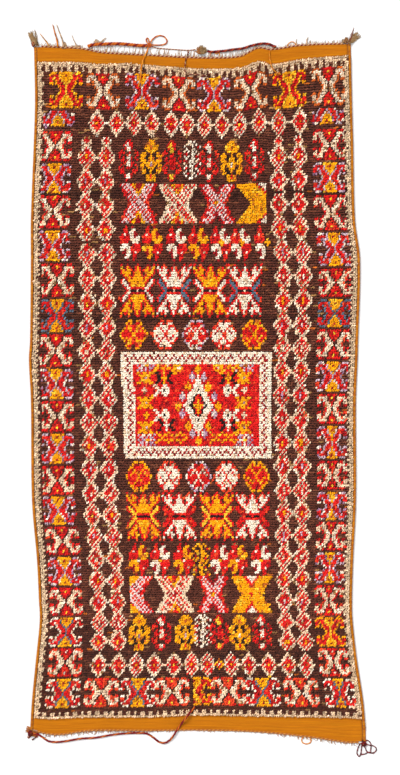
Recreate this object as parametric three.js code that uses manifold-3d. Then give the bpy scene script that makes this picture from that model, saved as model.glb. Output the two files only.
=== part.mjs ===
// A hand-knotted wool rug lying flat: knotted pile between two flat-woven ends, overcast side
// cords, cut warp ends, corner tassels and knots, and the loose twisted cords of its end finish.
// Millimetres, +Z up. The underside is on Z = 0, the length runs along Y, and the upper end is +Y.
import * as THREE from 'three';
import { mergeVertices } from 'three/addons/utils/BufferGeometryUtils.js';
import Module from 'manifold-3d';

const wasm = await Module();
wasm.setup();

// Driving dimensions
const PILE_TOP = 12;
const PILE_UNEVEN = 0.7;
const PILE_EDGE_RUN = 3;
const KILIM_THICK = 3;
const SIDE_CORD_WIDTH = 11;
const SIDE_CORD_HEIGHT = 10;
const GAP = 0.3;

// Uneven handwork: waves whose paces do not fall into step with each other
const SWELL_PACE = { across: 17, along: 9, crossAcross: 5, crossAlong: 31 };
const STRAY_PACE = { place: 2.39, reach: 1.7, slowReach: 0.61, lean: 3.1, lock: 2.2, lockLean: 1.9 };

// Division of the body's surface: columns across, lines along the pile
const BODY_COLUMNS = 27;
const PILE_LINES = 27;

// Outer edges of the side cords at stations along the length
const SIDE_STATIONS = [
  { along: -1231, left: -592, right: 617 },
  { along: -1123, left: -585, right: 607 },
  { along: -979, left: -571, right: 585 },
  { along: -835, left: -557, right: 569 },
  { along: -763, left: -560, right: 567 },
  { along: -619, left: -567, right: 571 },
  { along: -403, left: -585, right: 581 },
  { along: -43, left: -589, right: 581 },
  { along: 101, left: -596, right: 587 },
  { along: 173, left: -592, right: 589 },
  { along: 461, left: -589, right: 596 },
  { along: 605, left: -589, right: 578 },
  { along: 893, left: -578, right: 571 },
  { along: 1037, left: -574, right: 567 },
  { along: 1231, left: -578, right: 563 },
];

// The two flat-woven ends at stations across: the woven edge, and the line where the pile starts
const UPPER_END = [
  { across: -578, edge: 1228, pile: 1172 },
  { across: -412, edge: 1220, pile: 1170 },
  { across: -340, edge: 1206, pile: 1164 },
  { across: -250, edge: 1200, pile: 1167 },
  { across: -160, edge: 1195, pile: 1161 },
  { across: -34, edge: 1188, pile: 1150 },
  { across: 74, edge: 1186, pile: 1147 },
  { across: 164, edge: 1192, pile: 1152 },
  { across: 229, edge: 1222, pile: 1175 },
  { across: 275, edge: 1216, pile: 1164 },
  { across: 380, edge: 1231, pile: 1181 },
  { across: 563, edge: 1238, pile: 1198 },
];
const LOWER_END = [
  { across: -592, edge: -1226, pile: -1184 },
  { across: -538, edge: -1240, pile: -1190 },
  { across: -484, edge: -1244, pile: -1189 },
  { across: -376, edge: -1230, pile: -1184 },
  { across: -160, edge: -1230, pile: -1184 },
  { across: 20, edge: -1228, pile: -1177 },
  { across: 236, edge: -1235, pile: -1181 },
  { across: 416, edge: -1253, pile: -1183 },
  { across: 560, edge: -1273, pile: -1188 },
  { across: 617, edge: -1270, pile: -1192 },
];

// Cut warp ends: a twined strip along each woven edge, with the ends standing out of it
const STRIP_WIDTH = 4;
const STRIP_HEIGHT = 3;
const STRIP_INSET = 16;
const WARP_ROOT_RADIUS = 1.5;
const WARP_TIP_RADIUS = 0.5;
const WARP_TUCK_SHARE = 0.12;
const WARP_SHORTEST = 2.5;
const WARP_BEND_LENGTH = 30;
const WARP_STRAY = 2;
const WARP_LEAN_SHARE = 0.12;
const WARP_LEAN_MOST = 2;
const UPPER_WARPS = { count: 92, shortest: 4, longest: 11, bareFrom: 0, bareTo: 0 };
const LOWER_WARPS = { count: 92, shortest: 4, longest: 13, bareFrom: 378, bareTo: 426 };

// Single warp ends that hang far out of the upper edge
const LONG_WARPS = [
  { across: -527, length: 46, lean: -30 },
  { across: -493, length: 81, lean: -18 },
  { across: -473, length: 82, lean: -24 },
  { across: -426, length: 46, lean: -16 },
  { across: 366, length: 25, lean: 2 },
  { across: 402, length: 28, lean: 7 },
  { across: 440, length: 15, lean: -3 },
  { across: 497, length: 13, lean: 4 },
];

// Tassels at the upper corners: a bound head and a fan of locks, turned from straight up
const TASSEL_HEAD = new THREE.Vector3(9, 9, 6.5);
const TASSEL_LOCKS = 9;
const TASSEL_LOCK_RADIUS = 3;
const LOCK_REACH_SHARE = 0.82;
const LOCK_LEAN = 5;
const TASSELS = {
  tassel_top_left: { x: -574, y: 1236.9, length: 50, fanFrom: 34, fanTo: -6 },
  tassel_top_right: { x: 559, y: 1247, length: 42, fanFrom: 6, fanTo: -58 },
};

// Knots: half sizes along X, Y and Z, and the places of their middles on the floor
const YARN_TURNS = 3;
const YARN_RELIEF = 0.04;
const KNOTS = {
  bow_knot: { x: -162, y: 1233, half: new THREE.Vector3(9, 9, 6.5) },
  tuft_knot: { x: 25, y: 1219, half: new THREE.Vector3(22, 13, 8) },
  knot_bottom_left: { x: -594, y: -1244.6, half: new THREE.Vector3(14, 15, 7) },
  knot_bottom_right: { x: 611, y: -1284, half: new THREE.Vector3(13, 13, 7) },
};

// Yarn loops and ends that belong to a knot, on the floor
const KNOT_YARN_RADIUS = 2.5;
const KNOT_YARN_STEPS = 9;
const CORNER_LOOPS = [
  [[606, -1287], [595, -1297], [588, -1309], [587, -1320],
    [593, -1327], [600, -1321], [604, -1308], [609, -1292]],
  [[615, -1280], [629, -1283], [643, -1285], [653, -1291],
    [655, -1301], [647, -1309], [634, -1308], [617, -1290]],
];
const CORNER_END = [[-590, -1247], [-586, -1257], [-580, -1263], [-573, -1264]];
const BOW_EAR = [[-166, 1237], [-172, 1246], [-174, 1255], [-169, 1259], [-165, 1252], [-163, 1238]];

// Loose cords of the end finish: a route over the floor, the flat-woven end and the pile
const FLOOR = 0;
const WOVEN = KILIM_THICK + GAP;
const PILE = PILE_TOP + PILE_UNEVEN + GAP;
const CORD_SIDES = 8;
const CORDS = {
  edge_cord_left: {
    radius: 6.5,
    steps: 8,
    color: 0xa84524,
    route: [
      [-384, 1228, FLOOR], [-372, 1233, FLOOR], [-350, 1236, FLOOR], [-326, 1237, FLOOR], [-297, 1238, FLOOR],
      [-268, 1238, FLOOR], [-232, 1235, FLOOR], [-200, 1232, FLOOR], [-170.5, 1231.6, FLOOR],
    ],
  },
  edge_cord_middle: {
    radius: 2,
    steps: 7,
    color: 0x7a3038,
    route: [
      [-154.6, 1228.4, WOVEN], [-139, 1224.5, FLOOR], [-120, 1222, FLOOR], [-95, 1220, FLOOR],
      [-65, 1218, FLOOR], [-35, 1216, FLOOR], [-14, 1216, FLOOR], [3.6, 1218, WOVEN],
    ],
  },
  edge_cord_right: {
    radius: 5,
    steps: 12,
    color: 0x6e2026,
    route: [
      [46, 1212.6, FLOOR], [62, 1209, FLOOR], [85, 1211, FLOOR], [110, 1213, FLOOR], [135, 1217, FLOOR],
      [175, 1222, FLOOR], [200, 1230, FLOOR], [229, 1237, FLOOR], [252, 1239, FLOOR], [272, 1236, FLOOR],
      [284, 1230, FLOOR], [294, 1228, FLOOR],
    ],
  },
  bow_loop: {
    radius: 2.8,
    steps: 13,
    color: 0xe0820f,
    route: [
      [-158.4, 1242.6, WOVEN], [-151, 1254, FLOOR], [-139, 1264, FLOOR], [-126, 1268, FLOOR],
      [-113, 1266, FLOOR], [-103, 1258, FLOOR], [-99, 1247, FLOOR], [-104, 1239, FLOOR],
      [-115, 1235, FLOOR], [-133, 1234, FLOOR], [-152.6, 1234.2, WOVEN],
    ],
  },
  bow_tail: {
    radius: 3.2,
    steps: 10,
    color: 0xe8890c,
    route: [
      [-166, 1224.4, WOVEN], [-170, 1212, WOVEN], [-176, 1200, WOVEN], [-180, 1191, WOVEN],
      [-184, 1182, WOVEN], [-187, 1170, PILE], [-191, 1152, PILE], [-193, 1128, PILE],
      [-195, 1110, PILE], [-199, 1094, PILE], [-201, 1082, PILE],
    ],
  },
  dark_tail: {
    radius: 2.2,
    steps: 13,
    color: 0x5a2228,
    route: [
      [-20, 1212, WOVEN], [-24, 1203, WOVEN], [-29, 1192, WOVEN], [-31, 1181, WOVEN], [-33, 1171, WOVEN],
      [-34, 1158, PILE], [-34, 1141, PILE], [-28, 1130, PILE], [-14, 1126, PILE], [6, 1125.5, PILE],
      [24, 1124.5, PILE], [38, 1121, PILE], [48, 1112, PILE], [56, 1098, PILE],
    ],
  },
  orange_tail: {
    radius: 2,
    steps: 8,
    color: 0xe8890c,
    route: [
      [271, 1213, WOVEN], [270, 1203, WOVEN], [270, 1194, WOVEN], [271, 1184, WOVEN], [273, 1172, PILE],
      [277, 1155, PILE], [285, 1142, PILE], [296, 1133, PILE], [310, 1127, PILE],
    ],
  },
  hem_cord: {
    radius: 4.5,
    steps: 30,
    color: 0x7c2a22,
    route: [
      [-579.9, -1245, FLOOR], [-563, -1247, FLOOR], [-545, -1258, FLOOR], [-527, -1270, FLOOR],
      [-502, -1274, FLOOR], [-466, -1271, FLOOR], [-412, -1262, FLOOR], [-355, -1258, FLOOR],
      [-304, -1249, FLOOR], [-250, -1243, FLOOR], [-196, -1241.5, FLOOR], [-171, -1244, FLOOR],
      [-149, -1257, FLOOR], [-128, -1273, FLOOR], [-108, -1277, FLOOR], [-90, -1268, FLOOR],
      [-76, -1251, WOVEN], [-62, -1229, WOVEN], [-51, -1213, WOVEN], [-37, -1193, PILE],
      [-18, -1168, PILE], [2, -1145, PILE],
    ],
  },
  yarn_loop: {
    radius: 2.2,
    steps: 9,
    color: 0xe8890c,
    route: [
      [391, -1256.3, FLOOR], [386, -1265, FLOOR], [388, -1275, FLOOR], [401, -1281, FLOOR],
      [415, -1277, FLOOR], [420, -1268, FLOOR], [416, -1259, FLOOR],
    ],
  },
};

// Smooth reading of one column of a station table
function readTable(table, key, column, at) {
  const last = table.length - 1;
  const above = table.findIndex((row) => at < row[key]);
  const low = THREE.MathUtils.clamp(above < 0 ? last - 1 : above - 1, 0, last - 1);
  const slope = (index) => {
    const before = table[Math.max(index - 1, 0)];
    const after = table[Math.min(index + 1, last)];
    return (after[column] - before[column]) / (after[key] - before[key]);
  };
  const span = table[low + 1][key] - table[low][key];
  const t = THREE.MathUtils.clamp((at - table[low][key]) / span, 0, 1);
  const rise = table[low + 1][column] - table[low][column];
  const leave = slope(low) * span;
  const arrive = slope(low + 1) * span;
  const bend = leave * (1 - t) * (1 - t) * t - arrive * t * t * (1 - t);
  return table[low][column] + rise * t * t * (3 - 2 * t) + bend;
}

// Outline of the rug: outer edges by the length, ends by the share u of the way across
const sideLeft = (y) => readTable(SIDE_STATIONS, 'along', 'left', y);
const sideRight = (y) => readTable(SIDE_STATIONS, 'along', 'right', y);

const bodyLeft = (y) => sideLeft(y) + SIDE_CORD_WIDTH + GAP;
const bodyRight = (y) => sideRight(y) - SIDE_CORD_WIDTH - GAP;
const acrossAt = (u, y) => THREE.MathUtils.lerp(bodyLeft(y), bodyRight(y), u);
const endLine = (table, column, u) => readTable(table, 'across', column, acrossAt(u, table[0].edge));

// Lines across the body from the lower end to the upper: a place along the length, and its height
function bodyLine(index, u) {
  const lowerPile = endLine(LOWER_END, 'pile', u);
  const upperPile = endLine(UPPER_END, 'pile', u);
  const halfRun = PILE_EDGE_RUN / 2;
  const ends = [
    { y: endLine(LOWER_END, 'edge', u), height: KILIM_THICK },
    { y: lowerPile - halfRun, height: KILIM_THICK },
    { y: lowerPile + halfRun, height: PILE_TOP },
  ];
  const pileIndex = index - ends.length;
  if (pileIndex < 0) {
    return ends[index];
  }
  if (pileIndex >= PILE_LINES) {
    return [
      { y: upperPile - halfRun, height: PILE_TOP },
      { y: upperPile + halfRun, height: KILIM_THICK },
      { y: endLine(UPPER_END, 'edge', u), height: KILIM_THICK },
    ][pileIndex - PILE_LINES];
  }
  const share = (pileIndex + 1) / (PILE_LINES + 1);
  const y = THREE.MathUtils.lerp(lowerPile, upperPile, share);
  const wave = Math.sin(u * SWELL_PACE.across + share * SWELL_PACE.along);
  const swell = wave * Math.cos(share * SWELL_PACE.crossAlong - u * SWELL_PACE.crossAcross);
  return { y, height: PILE_TOP + PILE_UNEVEN * swell };
}
const BODY_LINES = PILE_LINES + 6;

// Closed geometry with shared points and outward faces
function closedGeometry(source) {
  const shell = source.clone();
  shell.deleteAttribute('normal');
  shell.deleteAttribute('uv');
  const merged = mergeVertices(shell, 1e-4);
  const at = merged.attributes.position;
  const corners = [new THREE.Vector3(), new THREE.Vector3(), new THREE.Vector3()];
  const order = merged.index.array;
  let volume = 0;
  for (let i = 0; i < order.length; i += 3) {
    corners.forEach((corner, k) => corner.fromBufferAttribute(at, order[i + k]));
    volume += corners[0].dot(corners[1].clone().cross(corners[2]));
  }
  if (volume < 0) {
    for (let i = 0; i < order.length; i += 3) {
      [order[i], order[i + 1]] = [order[i + 1], order[i]];
    }
  }
  return merged;
}

function fuse(geometries) {
  const solids = geometries.map((source) => {
    const shell = closedGeometry(source);
    return new wasm.Manifold(new wasm.Mesh({
      numProp: 3,
      vertProperties: new Float32Array(shell.attributes.position.array),
      triVerts: new Uint32Array(shell.index.array),
    }));
  });
  const joined = solids.reduce((whole, solid) => whole.add(solid)).getMesh();
  const geometry = new THREE.BufferGeometry();
  geometry.setAttribute('position', new THREE.BufferAttribute(joined.vertProperties, 3));
  geometry.setIndex(new THREE.BufferAttribute(joined.triVerts, 1));
  return geometry;
}

function movePoints(geometry, move) {
  const at = geometry.attributes.position;
  const point = new THREE.Vector3();
  for (let i = 0; i < at.count; i += 1) {
    move(point.fromBufferAttribute(at, i));
    at.setXYZ(i, point.x, point.y, point.z);
  }
  return geometry;
}

const rug = new THREE.Group();

function addPiece(name, geometry, color) {
  const wool = new THREE.MeshStandardMaterial({ color, roughness: 0.95, metalness: 0 });
  const solid = closedGeometry(geometry);
  solid.computeVertexNormals();
  const piece = new THREE.Mesh(solid, wool);
  piece.name = name;
  rug.add(piece);
}

// Body: one slab, thick where it is knotted and thin at its flat-woven ends
function bodyGeometry() {
  const slab = new THREE.BoxGeometry(1, 1, 1, BODY_COLUMNS, BODY_LINES - 1, 1);
  return movePoints(slab, (point) => {
    const u = point.x + 0.5;
    const line = bodyLine(Math.round((point.y + 0.5) * (BODY_LINES - 1)), u);
    const onTop = point.z > 0;
    point.set(acrossAt(u, line.y), line.y, onTop ? line.height : 0);
  });
}

// Side cord: the bundled outer warps, overcast with wool, on the body's own lines
function sideCordGeometry(u) {
  const halfSide = Math.PI / CORD_SIDES;
  const radius = 0.5 / Math.cos(halfSide);
  const bar = new THREE.CylinderGeometry(radius, radius, 1, CORD_SIDES, BODY_LINES - 1, false, halfSide);
  const middleOf = (y) => (u === 0 ? sideLeft(y) + SIDE_CORD_WIDTH / 2 : sideRight(y) - SIDE_CORD_WIDTH / 2);
  return movePoints(bar, (point) => {
    const line = bodyLine(Math.round((point.y + 0.5) * (BODY_LINES - 1)), u);
    const x = middleOf(line.y) + point.x * SIDE_CORD_WIDTH;
    point.set(x, line.y, (point.z + 0.5) * SIDE_CORD_HEIGHT);
  });
}

// Twined strip beside a woven edge, parted from it by the gap
function stripGeometry(table, outward) {
  const bar = new THREE.BoxGeometry(1, 1, 1, BODY_COLUMNS, 1, 1);
  const edgeY = (u) => endLine(table, 'edge', u);
  const inset = STRIP_INSET / (bodyRight(table[0].edge) - bodyLeft(table[0].edge));
  return movePoints(bar, (point) => {
    const u = THREE.MathUtils.clamp(point.x + 0.5, inset, 1 - inset);
    const y = edgeY(u);
    const away = GAP + (point.y + 0.5) * STRIP_WIDTH;
    point.set(acrossAt(u, y), y + outward * away, (point.z + 0.5) * STRIP_HEIGHT);
  });
}

// One yarn end: three sides, tapered, coming down to the floor, its tip carried sideways by the lean
function yarnEnd(root, length, lean, turn, rootRadius = WARP_ROOT_RADIUS) {
  const bends = length > WARP_BEND_LENGTH ? 2 : 1;
  const taper = new THREE.CylinderGeometry(WARP_TIP_RADIUS, rootRadius, length, 3, bends);
  movePoints(taper, (point) => {
    const share = point.y / length + 0.5;
    const radius = THREE.MathUtils.lerp(rootRadius, WARP_TIP_RADIUS, share);
    const rise = root.z * (1 - share) * (1 - share);
    point.set(point.x + lean * share * share, share * length, point.z + radius / 2 + rise);
  });
  taper.rotateZ(turn);
  taper.translate(root.x, root.y, 0);
  return taper;
}

// Height along Y of a route over the floor at a place across, or null beyond its ends
function routeAt(route, x) {
  const next = route.findIndex((point) => point[0] > x);
  if (next < 1) {
    return null;
  }
  const [from, to] = [route[next - 1], route[next]];
  return THREE.MathUtils.mapLinear(x, from[0], to[0], from[1], to[1]);
}

// Longest warp end that fits between a strip and the knots and cords lying beyond it
function roomBeyond(x, y, outward, cordNames, knotNames) {
  let room = Infinity;
  for (const name of cordNames) {
    const middle = routeAt(CORDS[name].route, x);
    if (middle !== null) {
      room = Math.min(room, (middle - y) * outward - CORDS[name].radius * (1 - WARP_TUCK_SHARE));
    }
  }
  for (const name of knotNames) {
    const { half } = KNOTS[name];
    const offset = Math.abs(x - KNOTS[name].x) / (half.x + WARP_ROOT_RADIUS);
    if (offset < 1) {
      room = Math.min(room, (KNOTS[name].y - y) * outward - half.y * Math.sqrt(1 - offset * offset) - GAP);
    }
  }
  return room;
}

function fringeGeometry(table, outward, warps, cordNames, knotNames, longWarps) {
  const turn = outward > 0 ? 0 : Math.PI;
  const edge = table[0].edge;
  const edgeAt = (column) => endLine(table, 'edge', column / BODY_COLUMNS);
  const rootAt = (x) => {
    const place = THREE.MathUtils.mapLinear(x, bodyLeft(edge), bodyRight(edge), 0, BODY_COLUMNS);
    const column = Math.floor(place);
    const y = THREE.MathUtils.lerp(edgeAt(column), edgeAt(column + 1), place - column);
    return new THREE.Vector3(x, y + outward * (GAP + STRIP_WIDTH / 2), 0);
  };
  const pieces = [stripGeometry(table, outward)];
  const first = bodyLeft(edge) + 2 * STRIP_INSET;
  const last = bodyRight(edge) - 2 * STRIP_INSET;
  for (let i = 0; i < warps.count; i += 1) {
    const stray = Math.sin(i * STRAY_PACE.place) * WARP_STRAY;
    const x = THREE.MathUtils.lerp(first, last, (i + 0.5) / warps.count) + stray;
    const root = rootAt(x);
    const ragged = 0.5 + 0.5 * Math.sin(i * STRAY_PACE.reach) * Math.cos(i * STRAY_PACE.slowReach);
    const wanted = THREE.MathUtils.lerp(warps.shortest, warps.longest, ragged);
    const room = roomBeyond(x, root.y, outward, cordNames, knotNames);
    const reach = Number.isFinite(room) ? room : wanted;
    const bare = x > warps.bareFrom && x < warps.bareTo;
    if (!bare && reach > WARP_SHORTEST + STRIP_WIDTH / 2) {
      const mostLean = Math.min(reach * WARP_LEAN_SHARE, WARP_LEAN_MOST);
      pieces.push(yarnEnd(root, reach, mostLean * Math.sin(i * STRAY_PACE.lean), turn));
    }
  }
  for (const warp of longWarps) {
    pieces.push(yarnEnd(rootAt(warp.across), warp.length, warp.lean, turn));
  }
  return fuse(pieces);
}

// Knot: a squashed ball of yarn, its turns raised
function knotGeometry({ x, y, half }) {
  const ball = new THREE.SphereGeometry(1, 14, 9);
  return movePoints(ball, (point) => {
    const around = Math.atan2(point.y, point.x);
    const turns = 1 + YARN_RELIEF * (Math.cos(YARN_TURNS * around + 5 * point.z) - 1);
    point.multiplyScalar(turns).multiply(half);
    point.add(new THREE.Vector3(x, y, half.z));
  });
}

function tubeGeometry(points, radius, steps) {
  const section = new THREE.Shape();
  for (let side = 0; side < CORD_SIDES; side += 1) {
    const angle = (side + 0.5) * 2 * Math.PI / CORD_SIDES;
    const place = [radius * Math.cos(angle), radius * Math.sin(angle)];
    if (side === 0) {
      section.moveTo(...place);
    } else {
      section.lineTo(...place);
    }
  }
  section.closePath();
  const extrudePath = new THREE.CatmullRomCurve3(points, false, 'centripetal');
  return new THREE.ExtrudeGeometry(section, { steps, bevelEnabled: false, extrudePath });
}

function knotYarn(route) {
  const points = route.map(([x, y]) => new THREE.Vector3(x, y, KNOT_YARN_RADIUS));
  return tubeGeometry(points, KNOT_YARN_RADIUS, KNOT_YARN_STEPS);
}

function tasselGeometry({ x, y, length, fanFrom, fanTo }) {
  const head = { x, y, half: TASSEL_HEAD };
  const pieces = [knotGeometry(head)];
  for (let i = 0; i < TASSEL_LOCKS; i += 1) {
    const share = i / (TASSEL_LOCKS - 1);
    const turn = THREE.MathUtils.degToRad(THREE.MathUtils.lerp(fanFrom, fanTo, share));
    const reach = length * THREE.MathUtils.lerp(1, Math.sin(i * STRAY_PACE.lock), 1 - LOCK_REACH_SHARE);
    const root = new THREE.Vector3(x, y, TASSEL_HEAD.z * (i % 2 ? 0.5 : 0.8));
    const lean = LOCK_LEAN * Math.sin(i * STRAY_PACE.lockLean);
    pieces.push(yarnEnd(root, reach, lean, turn, TASSEL_LOCK_RADIUS));
  }
  return fuse(pieces);
}

// The pieces, as the rug is put together
addPiece('rug_body', bodyGeometry(), 0x6a4434);
addPiece('selvedge_left', sideCordGeometry(0), 0xd9801a);
addPiece('selvedge_right', sideCordGeometry(1), 0xd9801a);

const upperCords = ['edge_cord_left', 'edge_cord_middle', 'edge_cord_right'];
const upperKnots = ['bow_knot', 'tuft_knot'];
const upperFringe = fringeGeometry(UPPER_END, 1, UPPER_WARPS, upperCords, upperKnots, LONG_WARPS);
const lowerFringe = fringeGeometry(LOWER_END, -1, LOWER_WARPS, ['hem_cord'], [], []);
addPiece('fringe_top', upperFringe, 0xb89a72);
addPiece('fringe_bottom', lowerFringe, 0xb89a72);

for (const [name, tassel] of Object.entries(TASSELS)) {
  addPiece(name, tasselGeometry(tassel), 0xb08a58);
}

const cornerLeft = fuse([knotGeometry(KNOTS.knot_bottom_left), knotYarn(CORNER_END)]);
const cornerRight = fuse([knotGeometry(KNOTS.knot_bottom_right), ...CORNER_LOOPS.map(knotYarn)]);
addPiece('bow_knot', fuse([knotGeometry(KNOTS.bow_knot), knotYarn(BOW_EAR)]), 0xc96a18);
addPiece('tuft_knot', knotGeometry(KNOTS.tuft_knot), 0xa89870);
addPiece('knot_bottom_left', cornerLeft, 0x6a3026);
addPiece('knot_bottom_right', cornerRight, 0x74342a);

for (const [name, cord] of Object.entries(CORDS)) {
  const points = cord.route.map(([x, y, under]) => new THREE.Vector3(x, y, under + cord.radius));
  addPiece(name, tubeGeometry(points, cord.radius, cord.steps), cord.color);
}

export default rug;
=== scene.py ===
import math

import bpy
import numpy as np
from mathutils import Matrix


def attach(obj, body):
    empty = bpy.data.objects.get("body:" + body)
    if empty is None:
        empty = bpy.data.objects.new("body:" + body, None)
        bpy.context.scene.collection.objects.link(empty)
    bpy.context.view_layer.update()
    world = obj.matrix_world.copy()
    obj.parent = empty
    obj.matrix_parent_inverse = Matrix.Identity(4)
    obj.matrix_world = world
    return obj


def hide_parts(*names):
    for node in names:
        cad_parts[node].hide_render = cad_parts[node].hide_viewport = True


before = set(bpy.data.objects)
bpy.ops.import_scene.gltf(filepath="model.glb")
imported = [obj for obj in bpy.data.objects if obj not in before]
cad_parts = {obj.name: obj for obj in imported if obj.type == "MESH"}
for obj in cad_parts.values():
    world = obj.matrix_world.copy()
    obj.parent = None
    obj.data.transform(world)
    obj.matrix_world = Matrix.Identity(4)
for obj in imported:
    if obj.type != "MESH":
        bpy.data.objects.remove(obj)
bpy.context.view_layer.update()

# Floor, light and camera
# The rug lies on a plain pale floor under even soft light, and is seen from straight above.
# The camera stands high on a long lens, so the sides of the rug stay parallel in the picture.
FLOOR_HALF = 7.0
FLOOR_DROP = 0.0006
FLOOR_TONE = (0.64, 0.64, 0.64, 1)
FLOOR_ROUGHNESS = 0.95
# Place, spread in degrees, strength
LAMPS = {"key_lamp": ((-2.6, 2.4, 3.8), 30.0, 3.95), "fill_lamp": ((2.8, -1.6, 4.6), 60.0, 1.0)}
WORLD_TONE = (1.0, 1.0, 1.0, 1)
WORLD_STRENGTH = 0.66
VIEW_MIDDLE = (0.0198, 0.0018)
VIEW_HEIGHT = 2.79
VIEW_REACH = 50.0
LENS, SENSOR = 100.0, 36.0

floor_signs = [(-1, -1), (1, -1), (1, 1), (-1, 1)]
floor_corners = [(x * FLOOR_HALF, y * FLOOR_HALF, -FLOOR_DROP) for x, y in floor_signs]
floor_mesh = bpy.data.meshes.new("floor")
floor_mesh.from_pydata(floor_corners, [], [(0, 1, 2, 3)])
floor_paint = bpy.data.materials.new("pale_floor")
floor_paint.use_nodes = True
floor_shader = floor_paint.node_tree.nodes["Principled BSDF"]
floor_shader.inputs["Base Color"].default_value = FLOOR_TONE
floor_shader.inputs["Roughness"].default_value = FLOOR_ROUGHNESS
floor_mesh.materials.append(floor_paint)
floor = bpy.data.objects.new("floor", floor_mesh)
bpy.context.collection.objects.link(floor)

for lamp_name, (place, spread, strength) in LAMPS.items():
    light = bpy.data.lights.new(lamp_name, "SUN")
    light.angle = math.radians(spread)
    light.energy = strength
    lamp = bpy.data.objects.new(lamp_name, light)
    lamp.location = place
    steepness = math.atan2(place[2], math.hypot(place[0], place[1]))
    lamp.rotation_euler = (math.pi / 2 - steepness, 0.0, math.atan2(-place[1], -place[0]) - math.pi / 2)
    bpy.context.collection.objects.link(lamp)

world = bpy.data.worlds.new("studio")
world.use_nodes = True
world.node_tree.nodes["Background"].inputs["Color"].default_value = WORLD_TONE
world.node_tree.nodes["Background"].inputs["Strength"].default_value = WORLD_STRENGTH
bpy.context.scene.world = world
bpy.context.scene.view_settings.view_transform = "Standard"

camera_data = bpy.data.cameras.new("camera")
camera_data.lens = LENS
camera_data.sensor_fit = "VERTICAL"
camera_data.sensor_height = SENSOR
camera_data.clip_end = VIEW_REACH
camera = bpy.data.objects.new("camera", camera_data)
camera.location = (*VIEW_MIDDLE, VIEW_HEIGHT * LENS / SENSOR)
bpy.context.collection.objects.link(camera)
bpy.context.scene.camera = camera

# Woven ground
# The cloth that carries the knots: wool warps along the rug, beaten together by wefts across it.
# At both ends it runs on as a weft-faced orange strip, its fine ribs lying across the rug.
KILIM_THICK = 0.003
SIDE_CORD_WIDTH = 0.011
SEAT_GAP = 0.0003
RIB_PITCH = 0.0031
RIB_RISE = 0.0004
RIB_STEPS = 4
RIPPLE_SHARE, RIPPLE_ACROSS, RIPPLE_ALONG = 0.25, 900, 400
UNDER_PILE = 0.010
GROUND_COLUMNS = 130
PLAIN_LINES = 30
KILIM_LIGHT = (170, 103, 4)
KILIM_DEEP = (148, 77, 3)
# Dark brown painted shade on the ground under the pile, where it shows between the wool ends
PAINTED_SHADE_UNDER_PILE = (48, 28, 22)
PICK_SHARE = 0.75
GROUND_SEED = 3

# Outer edges of the side cords: along, left, right
SIDES = np.array([
    (-1.231, -0.592, 0.617), (-1.123, -0.585, 0.607), (-0.979, -0.571, 0.585), (-0.835, -0.557, 0.569),
    (-0.763, -0.560, 0.567), (-0.619, -0.567, 0.571), (-0.403, -0.585, 0.581), (-0.043, -0.589, 0.581),
    (0.101, -0.596, 0.587), (0.173, -0.592, 0.589), (0.461, -0.589, 0.596), (0.605, -0.589, 0.578),
    (0.893, -0.578, 0.571), (1.037, -0.574, 0.567), (1.231, -0.578, 0.563),
])
# Both ends: across, the woven edge, and the line where the pile starts
UPPER_END = np.array([
    (-0.578, 1.228, 1.172), (-0.412, 1.220, 1.170), (-0.340, 1.206, 1.164), (-0.250, 1.200, 1.167),
    (-0.160, 1.195, 1.161), (-0.034, 1.188, 1.150), (0.074, 1.186, 1.147), (0.164, 1.192, 1.152),
    (0.229, 1.222, 1.175), (0.275, 1.216, 1.164), (0.380, 1.231, 1.181), (0.563, 1.238, 1.198),
])
LOWER_END = np.array([
    (-0.592, -1.226, -1.184), (-0.538, -1.240, -1.190), (-0.484, -1.244, -1.189), (-0.376, -1.230, -1.184),
    (-0.160, -1.230, -1.184), (0.020, -1.228, -1.177), (0.236, -1.235, -1.181), (0.416, -1.253, -1.183),
    (0.560, -1.273, -1.188), (0.617, -1.270, -1.192),
])
LEFT, RIGHT = 1, 2
EDGE, PILE_LINE = 1, 2


def read_table(table, column, at):
    """Smooth reading of one column of a station table, whose first column is the place."""
    places, values = table[:, 0], table[:, column]
    slopes = np.empty_like(values)
    slopes[1:-1] = (values[2:] - values[:-2]) / (places[2:] - places[:-2])
    slopes[0] = (values[1] - values[0]) / (places[1] - places[0])
    slopes[-1] = (values[-1] - values[-2]) / (places[-1] - places[-2])
    low = np.clip(np.searchsorted(places, at, side="right") - 1, 0, len(places) - 2)
    span = places[low + 1] - places[low]
    t = np.clip((at - places[low]) / span, 0, 1)
    bend = slopes[low] * span * (1 - t) ** 2 * t - slopes[low + 1] * span * t ** 2 * (1 - t)
    return values[low] + (values[low + 1] - values[low]) * t * t * (3 - 2 * t) + bend


def across(u, y):
    """Place across the rug at the share u of the way between its side cords."""
    inner_left = read_table(SIDES, LEFT, y) + SIDE_CORD_WIDTH + SEAT_GAP
    inner_right = read_table(SIDES, RIGHT, y) - SIDE_CORD_WIDTH - SEAT_GAP
    return inner_left + (inner_right - inner_left) * u


def end_line(table, column, u):
    return read_table(table, column, across(u, np.full_like(u, table[0, EDGE])))


def linear(dye):
    """A dye's colour as light, from its 0 to 255 reading."""
    share = np.asarray(dye, dtype=float) / 255
    return np.where(share <= 0.04045, share / 12.92, ((share + 0.055) / 1.055) ** 2.4)


def dyed_between(deep, light, share):
    return linear(deep) + (linear(light) - linear(deep)) * share[..., None]


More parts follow.
